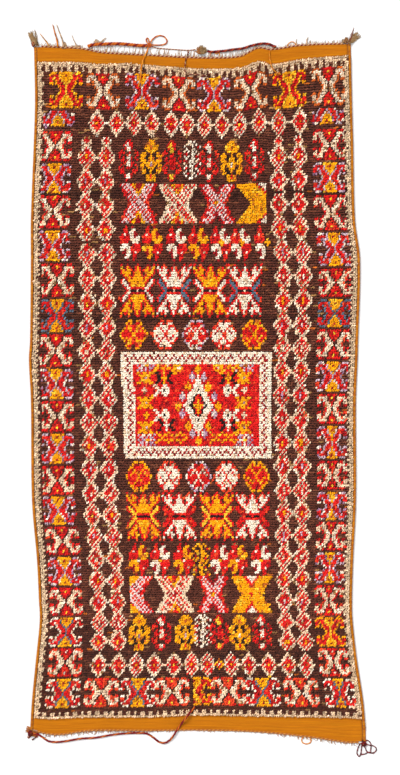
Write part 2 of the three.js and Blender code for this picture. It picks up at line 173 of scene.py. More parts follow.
def make_piece(name, points, faces, dyes, material, slot, nodes, cells=None):
    """One mesh from arrays: faces is a list of arrays of corners, dyes a colour for each point."""
    mesh = bpy.data.meshes.new(name)
    corners = np.concatenate([np.asarray(block).ravel() for block in faces]).astype(np.int32)
    sizes = np.concatenate([np.full(len(block), np.shape(block)[1]) for block in faces])
    starts = np.concatenate([[0], np.cumsum(sizes)[:-1]]).astype(np.int32)
    mesh.vertices.add(len(points))
    mesh.vertices.foreach_set("co", np.asarray(points, dtype=np.float32).ravel())
    mesh.loops.add(len(corners))
    mesh.loops.foreach_set("vertex_index", corners)
    mesh.polygons.add(len(sizes))
    mesh.polygons.foreach_set("loop_start", starts)
    mesh.polygons.foreach_set("use_smooth", np.ones(len(sizes), dtype=bool))
    shade = mesh.attributes.new("dye", "FLOAT_COLOR", "POINT")
    shade.data.foreach_set("color", np.c_[dyes, np.ones(len(points))].astype(np.float32).ravel())
    if cells is not None:
        mesh.uv_layers.new(name="OFBake").data.foreach_set("uv", cells.astype(np.float32).ravel())
    mesh.update(calc_edges=True)
    mesh.validate()
    mesh.materials.append(material)
    piece = bpy.data.objects.new(name, mesh)
    bpy.context.collection.objects.link(piece)
    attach(piece, "root")
    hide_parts(*nodes)
    return piece


def wool(name, mottle_scale, mottle_reach, fibre_scale, fibre_rise):
    """Dyed wool: the dye of each point, mottled as hand-dyed yarn is, with a fine raised fibre."""
    material = bpy.data.materials.new(name)
    material.use_nodes = True
    tree = material.node_tree

    def feed(node, **sockets):
        """Sets sockets of a node: an output is linked to its socket, a plain value is kept there."""
        for socket, value in sockets.items():
            entry = node.inputs[socket.replace("_", " ")]
            if isinstance(value, bpy.types.NodeSocket):
                tree.links.new(value, entry)
            else:
                entry.default_value = value

    def add(kind, output, **sockets):
        node = tree.nodes.new("ShaderNode" + kind)
        feed(node, **sockets)
        return node.outputs[output]

    place = add("TexCoord", "Object")
    stretched = add("Mapping", "Vector", Vector=place, Scale=mottle_scale)
    mottle = add("TexNoise", "Fac", Vector=stretched, Scale=1.0, Detail=4.0)
    tone = add("MapRange", "Result", Value=mottle, From_Min=0.3, From_Max=0.7,
               To_Min=1 - mottle_reach, To_Max=1 + mottle_reach)
    dye = add("Attribute", "Color")
    dye.node.attribute_name = "dye"
    tint = add("VectorMath", "Vector")
    tint.node.operation = "SCALE"
    feed(tint.node, Vector=dye, Scale=tone)
    fibre = add("TexNoise", "Fac", Vector=place, Scale=fibre_scale, Detail=2.0)
    dull = add("MapRange", "Result", Value=fibre, To_Min=0.8, To_Max=1.0)
    raised = add("Bump", "Normal", Height=fibre, Strength=0.6, Distance=fibre_rise)
    feed(tree.nodes["Principled BSDF"], Base_Color=tint, Roughness=dull, Normal=raised,
         Sheen_Weight=0.05, Sheen_Roughness=0.6, Specular_IOR_Level=0.05)
    return material


def grid_quads(lines, columns):
    corner = np.arange(lines * columns).reshape(lines, columns)
    quads = [corner[:-1, :-1], corner[:-1, 1:], corner[1:, 1:], corner[1:, :-1]]
    return np.stack(quads, axis=-1).reshape(-1, 4)


def woven_ground():
    u = np.linspace(0, 1, GROUND_COLUMNS + 1)
    lower_edge, upper_edge = end_line(LOWER_END, EDGE, u), end_line(UPPER_END, EDGE, u)
    lower_pile = end_line(LOWER_END, PILE_LINE, u) + UNDER_PILE
    upper_pile = end_line(UPPER_END, PILE_LINE, u) - UNDER_PILE
    ribs = round(float(np.mean(upper_edge - upper_pile)) / RIB_PITCH)
    strip = np.linspace(0, 1, ribs * RIB_STEPS + 1)[:, None]
    middle = np.linspace(0, 1, PLAIN_LINES + 2)[1:-1, None]
    y = np.concatenate([
        lower_edge + (lower_pile - lower_edge) * strip,
        lower_pile + (upper_pile - lower_pile) * middle,
        upper_pile + (upper_edge - upper_pile) * strip,
    ])
    rib = RIB_RISE * (np.abs(np.sin(math.pi * ribs * strip)) - 1)
    rib = rib + RIPPLE_SHARE * RIB_RISE * np.sin(u * RIPPLE_ACROSS + strip * RIPPLE_ALONG)
    z = np.concatenate([rib, 0 * middle + 0 * u, rib]) + KILIM_THICK
    x = across(u[None, :] + 0 * y, y)
    top = np.stack([x, y, z], axis=-1)
    lines, columns = y.shape
    corner = np.arange(lines * columns).reshape(lines, columns)
    rim = np.concatenate([corner[0, :-1], corner[:-1, -1], corner[-1, :0:-1], corner[:0:-1, 0]])
    foot = top.reshape(-1, 3)[rim] * (1, 1, 0)
    below = lines * columns + np.arange(len(rim))
    walls = np.stack([below, np.roll(below, -1), np.roll(rim, -1), rim], axis=-1)
    points = np.concatenate([top.reshape(-1, 3), foot])
    rng = np.random.default_rng(GROUND_SEED)
    pick = rng.random((lines, 1)) * PICK_SHARE + (1 - PICK_SHARE) * rng.random((lines, columns))
    dyes = dyed_between(KILIM_DEEP, KILIM_LIGHT, pick)
    # The lines under the pile take painted shade instead of the kilim orange
    painted_shade_lines = slice(len(strip), len(strip) + PLAIN_LINES)
    dyes[painted_shade_lines] = linear(PAINTED_SHADE_UNDER_PILE)
    dyes = np.concatenate([dyes.reshape(-1, 3), dyes.reshape(-1, 3)[rim]])
    faces = [grid_quads(lines, columns), walls, below[None, ::-1]]
    finish = wool("kilim_wool", mottle_scale=(9, 260, 9), mottle_reach=0.16,
                  fibre_scale=1400, fibre_rise=0.0004)
    piece = make_piece("woven_ground", points, faces, dyes, finish, "pile_wool", ["rug_body"])


woven_ground()

# Knot grid
# The pile is tied in rows of knots across the rug, and the pattern is counted in knots, not drawn.
# Each band of the pattern has its rows, plain rows after it, and its depth along the rug.
COLUMNS = 160
BANDS = {
    "guard_top": (4, 1, 0.0425), "tiles_top": (12, 1, 0.1195), "diamonds_top": (11, 1, 0.109),
    "brooches_top": (17, 1, 0.1584), "hourglasses_top": (16, 1, 0.1512), "birds_top": (14, 1, 0.1368),
    "castles_top": (21, 1, 0.2016), "rosettes_top": (12, 1, 0.1152), "medallion": (43, 1, 0.3924),
    "rosettes_low": (12, 0, 0.1116), "castles_low": (21, 1, 0.1836), "birds_low": (14, 0, 0.1188),
    "hourglasses_low": (16, 1, 0.1404), "brooches_low": (17, 1, 0.1332), "diamonds_low": (11, 0, 0.0936),
    "tiles_low": (12, 1, 0.1116), "guard_low": (4, 0, 0.0286),
}
first_row, row_edges = {}, [0.0]
for band, (pattern_rows, plain_rows, depth) in BANDS.items():
    first_row[band] = len(row_edges) - 1
    for _ in range(pattern_rows + plain_rows):
        row_edges.append(row_edges[-1] + depth / (pattern_rows + plain_rows))
row_edges = np.array(row_edges) / row_edges[-1]
ROWS = len(row_edges) - 1
knots = np.full((ROWS, COLUMNS), ".")


def stamp(chart, left, top, dyes=None):
    """Ties a chart into the grid: a dot leaves the ground, dyes swaps letters for other yarns."""
    for down, line in enumerate(chart):
        for along, letter in enumerate(line):
            row, column = round(top) + down, round(left) + along
            if letter != "." and 0 <= row < ROWS and 0 <= column < COLUMNS:
                knots[row, column] = (dyes or {}).get(letter, letter)


def mirrored(half):
    """A whole chart from its left half, the last letter of each line being the middle knot."""
    return [line + line[-2::-1] for line in half]


# Guard border
# The outermost stripe: undyed cream against the side cords, with short teeth towards the field.
TOOTH_PITCH = 3.7
FINE_PITCH = 2.1
FINE_ROWS = range(58, 215)
TOOTH_SHARE = 0.46
for step in range(COLUMNS):
    tooth = "g" if (step / TOOTH_PITCH) % 1 < TOOTH_SHARE else "."
    knots[[0, ROWS - 1], step] = "g"
    knots[1, step] = "g" if step % 3 else tooth
    knots[2:4, step] = tooth
    knots[ROWS - 3:ROWS - 1, step] = tooth
for step in range(2, ROWS - 2):
    pitch = FINE_PITCH if step in FINE_ROWS else TOOTH_PITCH
    tooth = "g" if (step / pitch) % 1 < TOOTH_SHARE else "."
    knots[step, :3] = ["g", "g", tooth]
    knots[step, -3:] = [tooth, "g", "g"]

# Hooked tiles
# Square tiles all round, each of two ribbons bent back to back with curled ends, a triangle above
# and one below. Cream ribbons on red take turns with red ribbons outlined in lilac on orange.
TILE_PITCH = 13.23
FIRST_SIDE_TILE = 27
LOW_SIDE_TILES = 15
TILE_MIDDLE = 8
END_TILE_ROWS = 14
# How many rows each side tile lies below an even spacing
LEFT_DROPS = (0, 0, 0, 0, 0, 1, 2, 2, 2, 2, 2, 0, 0, 0, 0, 0, 1, 1)
RIGHT_DROPS = (0, 0, 0, 1, 2, 1, 0, -1, -1, -1, 0, -2, -2, -2, -1, 0, 1, 1)
# The first column of each left tile, and how many columns it lacks beside the guard border
LEFT_PLACES = [(3, 2)] * 4 + [(4, 1)] * 8 + [(4, 0)] * 4 + [(5, 0)] * 2
# The first column of each right tile; from the ninth on they are two columns narrower
RIGHT_STARTS = [141] * 8 + [142] * 9 + [143]
FIRST_NARROW = 8
# The upper half of a tile: e edge, a ribbon, g line along it, f triangle, s spot
UPPER_TILE = mirrored(".eee.ffff eaaaagffs aaeaagfff aa.eaagff ee.eaaagf ....eaaag .....eaag".split())
CREAM, RUST_EDGED, CORAL = "rc.ry", "uc.ry", "hc.hy"
LOW_CREAM = "hc.rw"
LILAC, SLATE, PALE, GOLDEN = "lrlod", "trtod", "wrtod", "oryod"
LEFT_ODD, RIGHT_ODD = {5: SLATE, 15: PALE, 17: PALE}, {5: SLATE, 15: GOLDEN, 17: PALE}


def tile(rows):
    return UPPER_TILE[:(rows + 1) // 2] + UPPER_TILE[:rows // 2][::-1]


def tie_tile(chart, left, top, yarns):
    stamp(chart, left, top, dict(zip("eagfs", yarns)))


def tile_places(drops):
    """The top and the number of rows of each side tile, a row of ground being left between two."""
    tops = [round(FIRST_SIDE_TILE + TILE_PITCH * number) + drop for number, drop in enumerate(drops)]
    ends = tops[1:] + [round(FIRST_SIDE_TILE + TILE_PITCH * len(drops)) + 1]
    return [(top, end - top - 1) for top, end in zip(tops, ends)]


def side_yarns(number, odd_tiles):
    plain = (LOW_CREAM if number >= LOW_SIDE_TILES else CREAM, LILAC)[number % 2]
    return odd_tiles.get(number, plain)


for number, (top, rows) in enumerate(tile_places(LEFT_DROPS)):
    start, lacking = LEFT_PLACES[number]
    tie_tile([line[lacking:] for line in tile(rows)], start, top, side_yarns(number, LEFT_ODD))
for number, (top, rows) in enumerate(tile_places(RIGHT_DROPS)):
    chart = [line[:-1] for line in tile(rows)]
    if number >= FIRST_NARROW:
        chart = [line[:TILE_MIDDLE - 1] + line[TILE_MIDDLE] + line[TILE_MIDDLE + 2:] for line in tile(rows)]
    tie_tile(chart, RIGHT_STARTS[number], top, side_yarns(number, RIGHT_ODD))
for start, yarns in [(6, GOLDEN), (25, RUST_EDGED), (45, LILAC), (64, RUST_EDGED), (82, LILAC),
                     (101, RUST_EDGED), (121, GOLDEN), (141, RUST_EDGED)]:
    tie_tile(tile(END_TILE_ROWS), start, first_row["tiles_top"] - 1, yarns)
for start in (3, RIGHT_STARTS[0]):
    low_half = tile(END_TILE_ROWS)[END_TILE_ROWS // 2 + 1:]
    tie_tile([line[1:] for line in low_half], start, first_row["diamonds_top"] + 1, LILAC)
for start, yarns in [(24, CORAL), (42, PALE), (59, CORAL), (87, CORAL), (104, PALE), (123, CORAL)]:
    tie_tile(tile(END_TILE_ROWS - 2), start, first_row["tiles_low"], yarns)
half_tile = [line[TILE_MIDDLE:] for line in tile(END_TILE_ROWS - 2)]
tie_tile(half_tile, 78, first_row["tiles_low"], GOLDEN)

# Chains of diamonds
# Small stepped diamonds in cream and red, linked point to point: two chains down each long side,
# and one row across each end.
CHAIN_PITCH = 9.52
CHAIN_LENGTH = 22
CHAIN_START = 32
# Each pair of chains: its two middles at the top and at the bottom, in knots from the left,
# how far they bow sideways between the ends, and how many rows they drop at the top and halfway
CHAIN_PAIRS = [
    {"top": (25.6, 35.6), "low": (29.9, 39.7), "bow": (-0.2, -0.4), "drop": (0.6, 1.6)},
    {"top": (123.3, 133.7), "low": (127.0, 136.2), "bow": (-0.8, -1.2), "drop": (0.4, 0.4)},
]
SIDE_WIDE, SIDE_NARROW, SIDE_ROWS = 4.8, 1.5, 9.52
TIP_WIDE, TIP_NARROW, TIP_ROWS = 2.7, 1.2, 3.6
ROW_WIDE, ROW_NARROW, ROW_ROWS = 4.5, 0.6, 11
RIM_KNOTS, HATCHED_KNOTS, TIP_KNOTS = 0.85, 2.6, 1.15
SPOT_HALF, SIDE_SPOT_ROWS, ROW_SPOT_ROWS = 0.55, 1.1, 0.6
LINK_LAP = 0.6


def diamond(middle, top, wide, narrow, length, spot, spot_rows=SIDE_SPOT_ROWS):
    """A cream rim, then cream and red by turns, then a red core with a bright spot."""
    for row in range(round(top), round(top + length)):
        off_row = abs(row + 0.5 - top - length / 2)
        half = wide + (narrow - wide) * off_row / (length / 2)
        for column in range(math.floor(middle - wide), math.ceil(middle + wide)):
            off_middle = abs(column + 0.5 - middle)
            if off_middle < SPOT_HALF and off_row < spot_rows:
                knots[row, column] = spot
            elif off_middle < half:
                inwards = half - off_middle
                by_turns = inwards < HATCHED_KNOTS and (row + column) % 2
                at_rim = inwards < RIM_KNOTS or half < TIP_KNOTS
                knots[row, column] = "c" if at_rim or by_turns else "r"


for pair in CHAIN_PAIRS:
    for number in range(CHAIN_LENGTH):
        share = number / (CHAIN_LENGTH - 1)
        halfway = 4 * share * (1 - share)
        diamond_top = CHAIN_START + CHAIN_PITCH * number
        diamond_top += pair["drop"][0] * (1 - share)
        diamond_top += pair["drop"][1] * halfway
        middles = [top + (low - top) * share + bow * halfway
                   for top, low, bow in zip(pair["top"], pair["low"], pair["bow"])]
        for middle in middles:
            if number == 0:
                diamond(middle, diamond_top - TIP_ROWS, TIP_WIDE, TIP_NARROW, TIP_ROWS, "r")
            diamond(middle, diamond_top, SIDE_WIDE, SIDE_NARROW, SIDE_ROWS, "olc"[number % 3])
        link_row = round(diamond_top + SIDE_ROWS / 2 - 0.5)
        reach = SIDE_WIDE - LINK_LAP
        knots[link_row, round(middles[0] + reach):round(middles[1] - reach)] = "c"
for place, middles in [
    ("diamonds_top", (30, 40, 49, 58, 68, 76, 85, 94, 103, 113, 123, 134)),
    ("diamonds_low", (30, 40, 49, 58, 68, 77, 85, 97, 106, 116, 126, 135)),
]:
    for middle, after in zip(middles, middles[1:]):
        knots[first_row[place] + ROW_ROWS // 2, middle + 4:after - 3] = "c"
    for middle in middles:
        diamond(middle + 0.5, first_row[place], ROW_WIDE, ROW_NARROW, ROW_ROWS, "o", ROW_SPOT_ROWS)
stamp("..o.. .oro. orwro .oro. ..o..".split(), 89, first_row["diamonds_low"] + 3)

# Brooches and sprigs
# Two rows of brooch shapes, three lozenges on a stem, with one thin upright sprig in each row.
ROUND_BROOCH = """
....bbb.... ...bbbbb... ..bbbxbbb.. ..bbbxbbb.. ...bbbbb... .bb..b..bb. bbbk.b.kbbb bb.kbbbk.bb bbb.bbb.bbb
.bbbbzbbbb. bb.bbzbb.bb bb.kbbbk.bb bbbk.b.kbbb .bbkkbkkbb. ..kbbybbk.. ...bbybb... ...bbbbb...
""".split()
LOBED_BROOCH = """
....bb.... ...bxbb... ..bxxbb... ...bxxb... .b..xx..b. bbb..b..bb b...bb...b b.b.zzb.b. .bb.bzb..b
..bbzzbb.. .b..zzb.b. b.b.bbb..b bbb....bbb .bb....bb. ...byyb... ...byyb... ....bb....
""".split()
SPRIG = """
..ww.w... .w.ww.w.. w.d.w..rw .w..ww... w.w.w.w.. dr..ww.w. w.w.w.rd. .w..ww.w.
rd.ww.w.. w..w.w.dw .w.ww.r.. wr..w.w.. .w.ww..w. w.d.ww.rw .w..w.w.. ...ww....
""".split()
RED_BROOCH = (LOBED_BROOCH, {"b": "r", "x": "w", "z": "w", "y": "w"})
GOLD_BROOCH = (ROUND_BROOCH, {"b": "o", "x": "u", "z": "l", "y": "r"})
TIPPED_BROOCH = (LOBED_BROOCH, {"b": "r", "x": "y", "z": "r", "y": "y"})
for place, sprig_start, brooches in [
    ("brooches_top", 75, [(42, RED_BROOCH), (53, GOLD_BROOCH), (64, TIPPED_BROOCH), (83, RED_BROOCH),
                          (94, GOLD_BROOCH), (106, RED_BROOCH)]),
    ("brooches_low", 79, [(45, GOLD_BROOCH), (57, RED_BROOCH), (69, GOLD_BROOCH), (87, TIPPED_BROOCH),
                          (97, GOLD_BROOCH), (109, RED_BROOCH)]),
]:
    for start, (chart, dyes) in brooches:
        stamp(chart, start, first_row[place], dyes)
    stamp(SPRIG, sprig_start, first_row[place])

# Hourglasses
# Two rows of broad waisted shapes, outlined in one yarn and hatched inside with another,
# with a V cut into the top and the bottom of each.
HOURGLASS_ROWS = 16
WAIST = 0.5
VEE_ROWS = 3.6
OUTLINE_KNOTS = 1.5
VEE_ARM_KNOTS = 0.65
HEART_KNOTS = 1.4
VEE_HALF = 2.4
# Left and right in knots, the yarns of outline, fill, tick, V, inside of the V and heart,
# then the V's half width, and the half that was tied where there is only one
HOURGLASSES = {
    "hourglasses_top": [(42.6, 62.3, "rprodp"), (62.3, 82.5, "ccrorr"), (83.0, 101.5, "rprd.o"),
                        (101.7, 117.3, "ooorwo", 4.6, "left")],
    "hourglasses_low": [(46.0, 58.4, "rproow", 4.2, "right"), (59.0, 79.8, "ccrorr"), (80.8, 97.5, "rprd.o"),
                        (98.5, 119.9, "ooorwr", 3.0)],
}


def hourglass(top, left, right, yarns, vee_half=VEE_HALF, half_tied=""):
    outline, fill, tick, arms, inside, heart = yarns
    middle, half_width = (left + right) / 2, (right - left) / 2
    if half_tied:
        middle, half_width = left if half_tied == "right" else right, right - left
    for row in range(HOURGLASS_ROWS):
        off_waist = abs(row + 0.5 - HOURGLASS_ROWS / 2)
        from_end = HOURGLASS_ROWS / 2 - 0.5 - off_waist
        half = half_width * (WAIST + (1 - WAIST) * off_waist / (HOURGLASS_ROWS / 2))
        notch = vee_half * (1 - from_end / VEE_ROWS)
        for column in range(round(left), round(right)):
            side = abs(column + 0.5 - middle)
            if side > half:
                continue
            letter = tick if (2 * column + 3 * row) % 5 < 2 else fill
            if side > half - OUTLINE_KNOTS:
                letter = outline
            if notch > -VEE_ARM_KNOTS and side < notch + VEE_ARM_KNOTS:
                letter = arms if side > notch - VEE_ARM_KNOTS else inside
            if side + off_waist < HEART_KNOTS:
                letter = heart
            knots[round(top) + row, column] = letter


for place, hourglasses in HOURGLASSES.items():
    for facts in hourglasses:
        hourglass(first_row[place], *facts)

# Birds
# Two rows of paired birds, a red one over a turned one, with a paler yarn between them.
BIRD = "...r..d... ..rr..cc.. ..rr.ccd.. .rwrrccdd. rrrrrccdcc rrrrrccccc rrrr..ccc.".split()
BIRD_PAIR = BIRD + [line[::-1] for line in BIRD[::-1]]
CREAM_BIRD, ORANGE_BIRD = {"c": "w"}, {"c": "o"}
for start, dyes in [(43, CREAM_BIRD), (54, ORANGE_BIRD), (66, CREAM_BIRD), (77, ORANGE_BIRD),
                    (88, CREAM_BIRD), (98, CREAM_BIRD)]:
    stamp(BIRD_PAIR, start, first_row["birds_top"], dyes)
stamp([line[:5] for line in BIRD_PAIR], 110, first_row["birds_top"], CREAM_BIRD)
for start in (92, 102, 115):
    stamp(".o. ooo .o.".split(), start, first_row["birds_top"] + 5)
for start, dyes in [(46, ORANGE_BIRD), (57, CREAM_BIRD), (69, ORANGE_BIRD), (88, CREAM_BIRD),
                    (97, ORANGE_BIRD), (109, CREAM_BIRD)]:
    stamp(BIRD_PAIR, start, first_row["birds_low"], dyes)
    stamp(["ss"], start + 4, first_row["birds_low"] + 6.5, {"s": "o" if dyes is CREAM_BIRD else "w"})
stamp(SPRIG[:14], 79, first_row["birds_low"], {"w": "o", "d": "k"})

# Castles
# Two rows of stepped castles, each with its image below, orange and cream by turns.
CASTLE = mirrored("""
r..r....r b.rbr..rb rbrbbr.rb rbbbb.rbb .rbbr.rbb ..rbbrbbb rs.rbbbbb rss.rbbbb .rssrbbbb ..rssrrrr ...rskkkw
..rssrrrr .rssrbbbb rss.rbbbb rs.rbrbbb ..rbb.rbb .rbbr.rbb rbbbb.rbb rbbrbb.rb b.rrb..rb r...r...r
""".split())
GOLD_CASTLE, CREAM_CASTLE = {"b": "o", "s": "w"}, {"b": "w", "s": "t"}
YELLOW_SIDED, RED_SIDED = {"b": "o", "s": "y", "w": "k"}, {"b": "w", "s": "r", "w": "r"}
for place, castles in [
    ("castles_top", [(43, GOLD_CASTLE), (61, CREAM_CASTLE), (79, GOLD_CASTLE), (96, CREAM_CASTLE)]),
    ("castles_low", [(46, YELLOW_SIDED), (64, RED_SIDED), (83, YELLOW_SIDED), (101, RED_SIDED)]),
]:
    for start, dyes in castles:
        stamp(CASTLE, start, first_row[place], dyes)

# Rosettes
# A row of six-sided rosettes above and below the middle panel, each crossed inside by an X.
ROSETTE_ROWS = 12
ROSETTE_WIDE, ROSETTE_NARROW = 7.1, 2.6
NOTCH_START, NOTCH_HALF = 3.9, 0.8
CAP_START = 5
EDGE_KNOTS = 0.8
CROSS_SLOPE, CROSS_HALF = 0.8, 0.6
RING_REACH, RING_HALF = 4.4, 0.4
# The yarns of cap, edge, fill and tick
ROSETTE_YARNS = ["ooro", "hhwr", "llrw", "hhwr", "ooro"]


def rosette(middle, top, cap, edge, fill, tick):
    for row in range(ROSETTE_ROWS):
        off_row = abs(row + 0.5 - ROSETTE_ROWS / 2)
        half = ROSETTE_WIDE + (ROSETTE_NARROW - ROSETTE_WIDE) * off_row / (ROSETTE_ROWS / 2)
        for column in range(math.floor(middle - half), math.ceil(middle + half)):
            side = abs(column + 0.5 - middle)
            if side > half or off_row > NOTCH_START and side < NOTCH_HALF:
                continue
            on_cross = abs(side - CROSS_SLOPE * off_row) < CROSS_HALF
            on_ring = abs(side + CROSS_SLOPE * off_row - RING_REACH) < RING_HALF and (column + row) % 2
            letter = tick if on_cross or on_ring else fill
            if side > half - EDGE_KNOTS:
                letter = edge
            knots[top + row, column] = cap if off_row > CAP_START else letter


for place, middles in [
    ("rosettes_top", (50.0, 65.6, 80.6, 94.6, 109.6)), ("rosettes_low", (52.5, 67.5, 82.5, 96.5, 111.5)),
]:
    for middle, yarns in zip(middles, ROSETTE_YARNS):
        rosette(middle, first_row[place], *yarns)

# Middle panel
# A red panel in a broad cream frame with a red zigzag, a tall diamond at its heart,
# and stars, crosses and small blossoms around it.
PANEL_LEFT, PANEL_RIGHT = 44, 119
FRAME_SIDE, FRAME_END = 6, 5
PANEL_DRIFT = 1.6
ZIGZAG_PITCH, ZIGZAG_REACH, ZIGZAG_HALF = 4.0, 2.0, 0.7
HEART_COLUMN, HEART_HALF_WIDTH = 82.5, 7.2
HEART_ROW, HEART_HALF_HEIGHT = 136.7, 12.2
ORANGE_STAR = "oo.oo.oo .oooooo. ..oolo.. .oooooo. oo.oo.oo".split()
DARK_STAR = "kk..s..kk .kk.s.kk. ..ksssk.. .kk.s.kk. kk..s..kk".split()
CREAM_STAR = "ww...ww. .ww.wwww ..wwwkww .ww.wwww ww...ww.".split()
CROSS = ".s. sss .s.".split()
BLOSSOM = ".s. sss sss .s.".split()
VINE_ROW, VINE_PITCH = 149, 6
LILAC_STAR = "l.ll.ll.l .ll.l.ll. l.llool.l .ll.l.ll. l.l.l.l.l".split()
HEART = mirrored("....k ....w ...kr ..krr ..kro .krro kkooo .kroo ..kro ..kro ...kr ....w ....k".split())
WAVE = "..oo..oo..oooo.. .oo.oo.oo.oowwo. oo...o...oo.oo.. o.........oo....".split()


def tie_at(chart, column, row, dyes=None):
    """Ties a chart with its middle at a column and a row."""
    stamp(chart, column - len(chart[0]) / 2, row - len(chart) / 2, dyes)


def zigzag(step):
    return ZIGZAG_REACH * abs(2 * (step / ZIGZAG_PITCH % 1) - 1)


panel_top = first_row["medallion"]
panel_rows = BANDS["medallion"][0]
for row in range(panel_rows):
    drift = round(PANEL_DRIFT * row / panel_rows)
    panel_left, panel_right = PANEL_LEFT + drift, PANEL_RIGHT + round(drift / 2)
    from_end = min(row, panel_rows - 1 - row)
    for column in range(panel_left, panel_right):
        from_side = min(column - panel_left, panel_right - 1 - column)
        letter = "r"
        if from_end < FRAME_END or from_side < FRAME_SIDE:
            letter = "w"
            on_end = from_side > 1 and abs(from_end - 1 - zigzag(column)) < ZIGZAG_HALF
            on_side = from_end > 2 and abs(from_side - 2 - zigzag(row)) < ZIGZAG_HALF
            if on_end or on_side:
                letter = "d"
        knots[panel_top + row, column] = letter
        reach = abs(column + 0.5 - HEART_COLUMN) / HEART_HALF_WIDTH
        reach += abs(panel_top + row + 0.5 - HEART_ROW) / HEART_HALF_HEIGHT
        if reach <= 1:
            knots[panel_top + row, column] = "w"
tie_at(HEART, HEART_COLUMN, HEART_ROW)

for column in (56, 105.4):
    for row in (125.5, 135.8, 145.3):
        tie_at(ORANGE_STAR, column, row)
    tie_at(LILAC_STAR[2:], column, 121.5)
    tie_at(LILAC_STAR, column + 0.5, 150.5)
for column, row, yarn in [(55.8, 130.6, "c"), (105.4, 130.6, "c"), (105.6, 140.3, "c"), (56.4, 140.3, "o")]:
    tie_at(CROSS, column, row, {"s": yarn})
for column, row, yarn in [(65.4, 125.5, "o"), (97.2, 125.5, "o"), (66.1, 145.0, "w"), (97.2, 145.0, "w")]:
    tie_at(DARK_STAR, column, row, {"s": yarn})
for row in (131.0, 140.0):
    tie_at(CREAM_STAR, 64.2, row)
    tie_at([line[::-1] for line in CREAM_STAR], 99.0, row)
for off_middle, off_row, yarn in [(3.2, 11.4, "l"), (5.4, 8.0, "o"), (7.9, 3.6, "l")]:
    for side in (-1, 1):
        for end in (-1, 1):
            tie_at(BLOSSOM, HEART_COLUMN + side * off_middle, HEART_ROW + end * off_row, {"s": yarn})
for off_middle, off_row in [(-10.3, 0), (10.3, 0), (0, -15), (0, 14.4)]:
    tie_at(BLOSSOM, HEART_COLUMN + off_middle, HEART_ROW + off_row, {"s": "o"})
stamp(WAVE, 60, 120)
stamp([line[::-1] for line in WAVE], 89, 120)
for start, end in [(61, 77), (88, 102)]:
    for column in range(start, end):
        swing = 2 * abs((column - start) % VINE_PITCH - VINE_PITCH / 2) / (VINE_PITCH / 2)
        for off_row in range(-2, 3):
            if abs(abs(off_row) - swing) < 0.6:
                knots[VINE_ROW + off_row, column] = "o"

# Cut pile
# Each knot leaves a bunch of cut wool ends, about a centimetre long, that lean down the rug.
# Hand-dyed yarn changes from row to row, odd tan and orange knots are strewn on the brown ground,
# and here and there a knot was tied in its neighbour's yarn.
PILE_TOP = 0.012
PILE_UNEVEN = 0.0006
PILE_ROOT = 0.0032
PILE_RUN = np.array((-0.0042, -0.0062))
RUN_STRAY = 0.0011
ENDS_PER_KNOT = 4
END_LENGTH = 0.0104
END_WIDTH = 0.0042
END_DROP = 0.0026
SIZE_STRAY, SIZE_RANGE = 0.18, (0.6, 1.4)
UNEVEN_RANGE = (-1.8, 1.0)
SWELL_RISE, SWELL_DROP = 0.0005, 0.0002
SWELL_ACROSS, SWELL_ALONG = (17, 5), (9, 31)
# Where the four ends of a knot stand in its cell, the three corners of a cut tip, and an end's faces
CELL_CORNERS = np.array([(-1, -1), (1, -1), (-1, 1), (1, 1)])
BUNCHED, UPRIGHT = CELL_CORNERS * (0.16, 0.18), CELL_CORNERS * (0.23, 0.2)
IN_LINE = np.array([(-0.375, 0.0), (-0.125, 0.0), (0.125, 0.0), (0.375, 0.0)])
TIP_CORNERS = np.array([(0.5, 0.0), (-0.5, 0.5), (-0.5, -0.5)])
END_FACES = np.array([(0, 1, 2), (0, 2, 3), (0, 3, 1), (1, 3, 2)])
# The brown ground has worn shorter than the rest, and its ends lie in lines along the rows
WORN_LENGTH = 0.62
WORN_DEPTH = 0.0010
SIDE_LENGTH, FIELD_LENGTH = 0.78, 0.72
# Around the middle panel the pile is trodden down to short upright ends
TRODDEN_LENGTH = 0.62
TRODDEN_WIDTH = 1.3
TRODDEN_LEAN = 0.5
TRODDEN_STRAY = 0.55
# Share of the dye kept at the root of a trodden end: painted shade, lighter than in the deeper pile
TRODDEN_ROOT_SHADE = 0.6
PLACE_STRAY = 0.0008
END_POWER = 9
UPPER_MEAN, LOWER_MEAN = 1.164, -1.184
YARNS = {
    ".": (91, 45, 32), "m": (114, 62, 43), "n": (158, 112, 66), "a": (190, 96, 30),
    "g": (218, 184, 147), "c": (248, 212, 176), "w": (255, 236, 212), "r": (220, 26, 24),
    "d": (160, 22, 26), "h": (236, 72, 36), "o": (252, 164, 2), "y": (252, 196, 50),
    "l": (208, 178, 188), "v": (168, 122, 148), "p": (244, 206, 198), "k": (44, 26, 22),
    "t": (92, 110, 126), "u": (204, 94, 34),
}
# Undyed and pale yarns, spun thinner than the dyed ones
THIN_YARNS, THIN_SHARE = "cwpgl", 0.86
# Shares of the knots of each yarn that were tied in another, the ground's in short runs
BLENDS = {
    ".": {"m": 0.2, "n": 0.014, "a": 0.008}, "r": {"h": 0.14, "d": 0.16}, "o": {"y": 0.1, "a": 0.08},
    "c": {"w": 0.15, "n": 0.06}, "w": {"c": 0.16, "g": 0.05}, "g": {"c": 0.2},
    "l": {"w": 0.2, "v": 0.2}, "h": {"r": 0.3},
}
MIS_TIED = 0.02
SHADE_STRAY = 0.19
GROUND_STRAY = 0.16
END_STRAY = 0.09
ROW_STRAY = 0.08
# Share of the dye kept at the root of each wool end: painted shade deep in the pile
ROOT_SHADE = 0.32
GROUND_TONES, KNOT_TONES = (0.5, 1.9), (0.55, 1.45)
PILE_SEED = 11
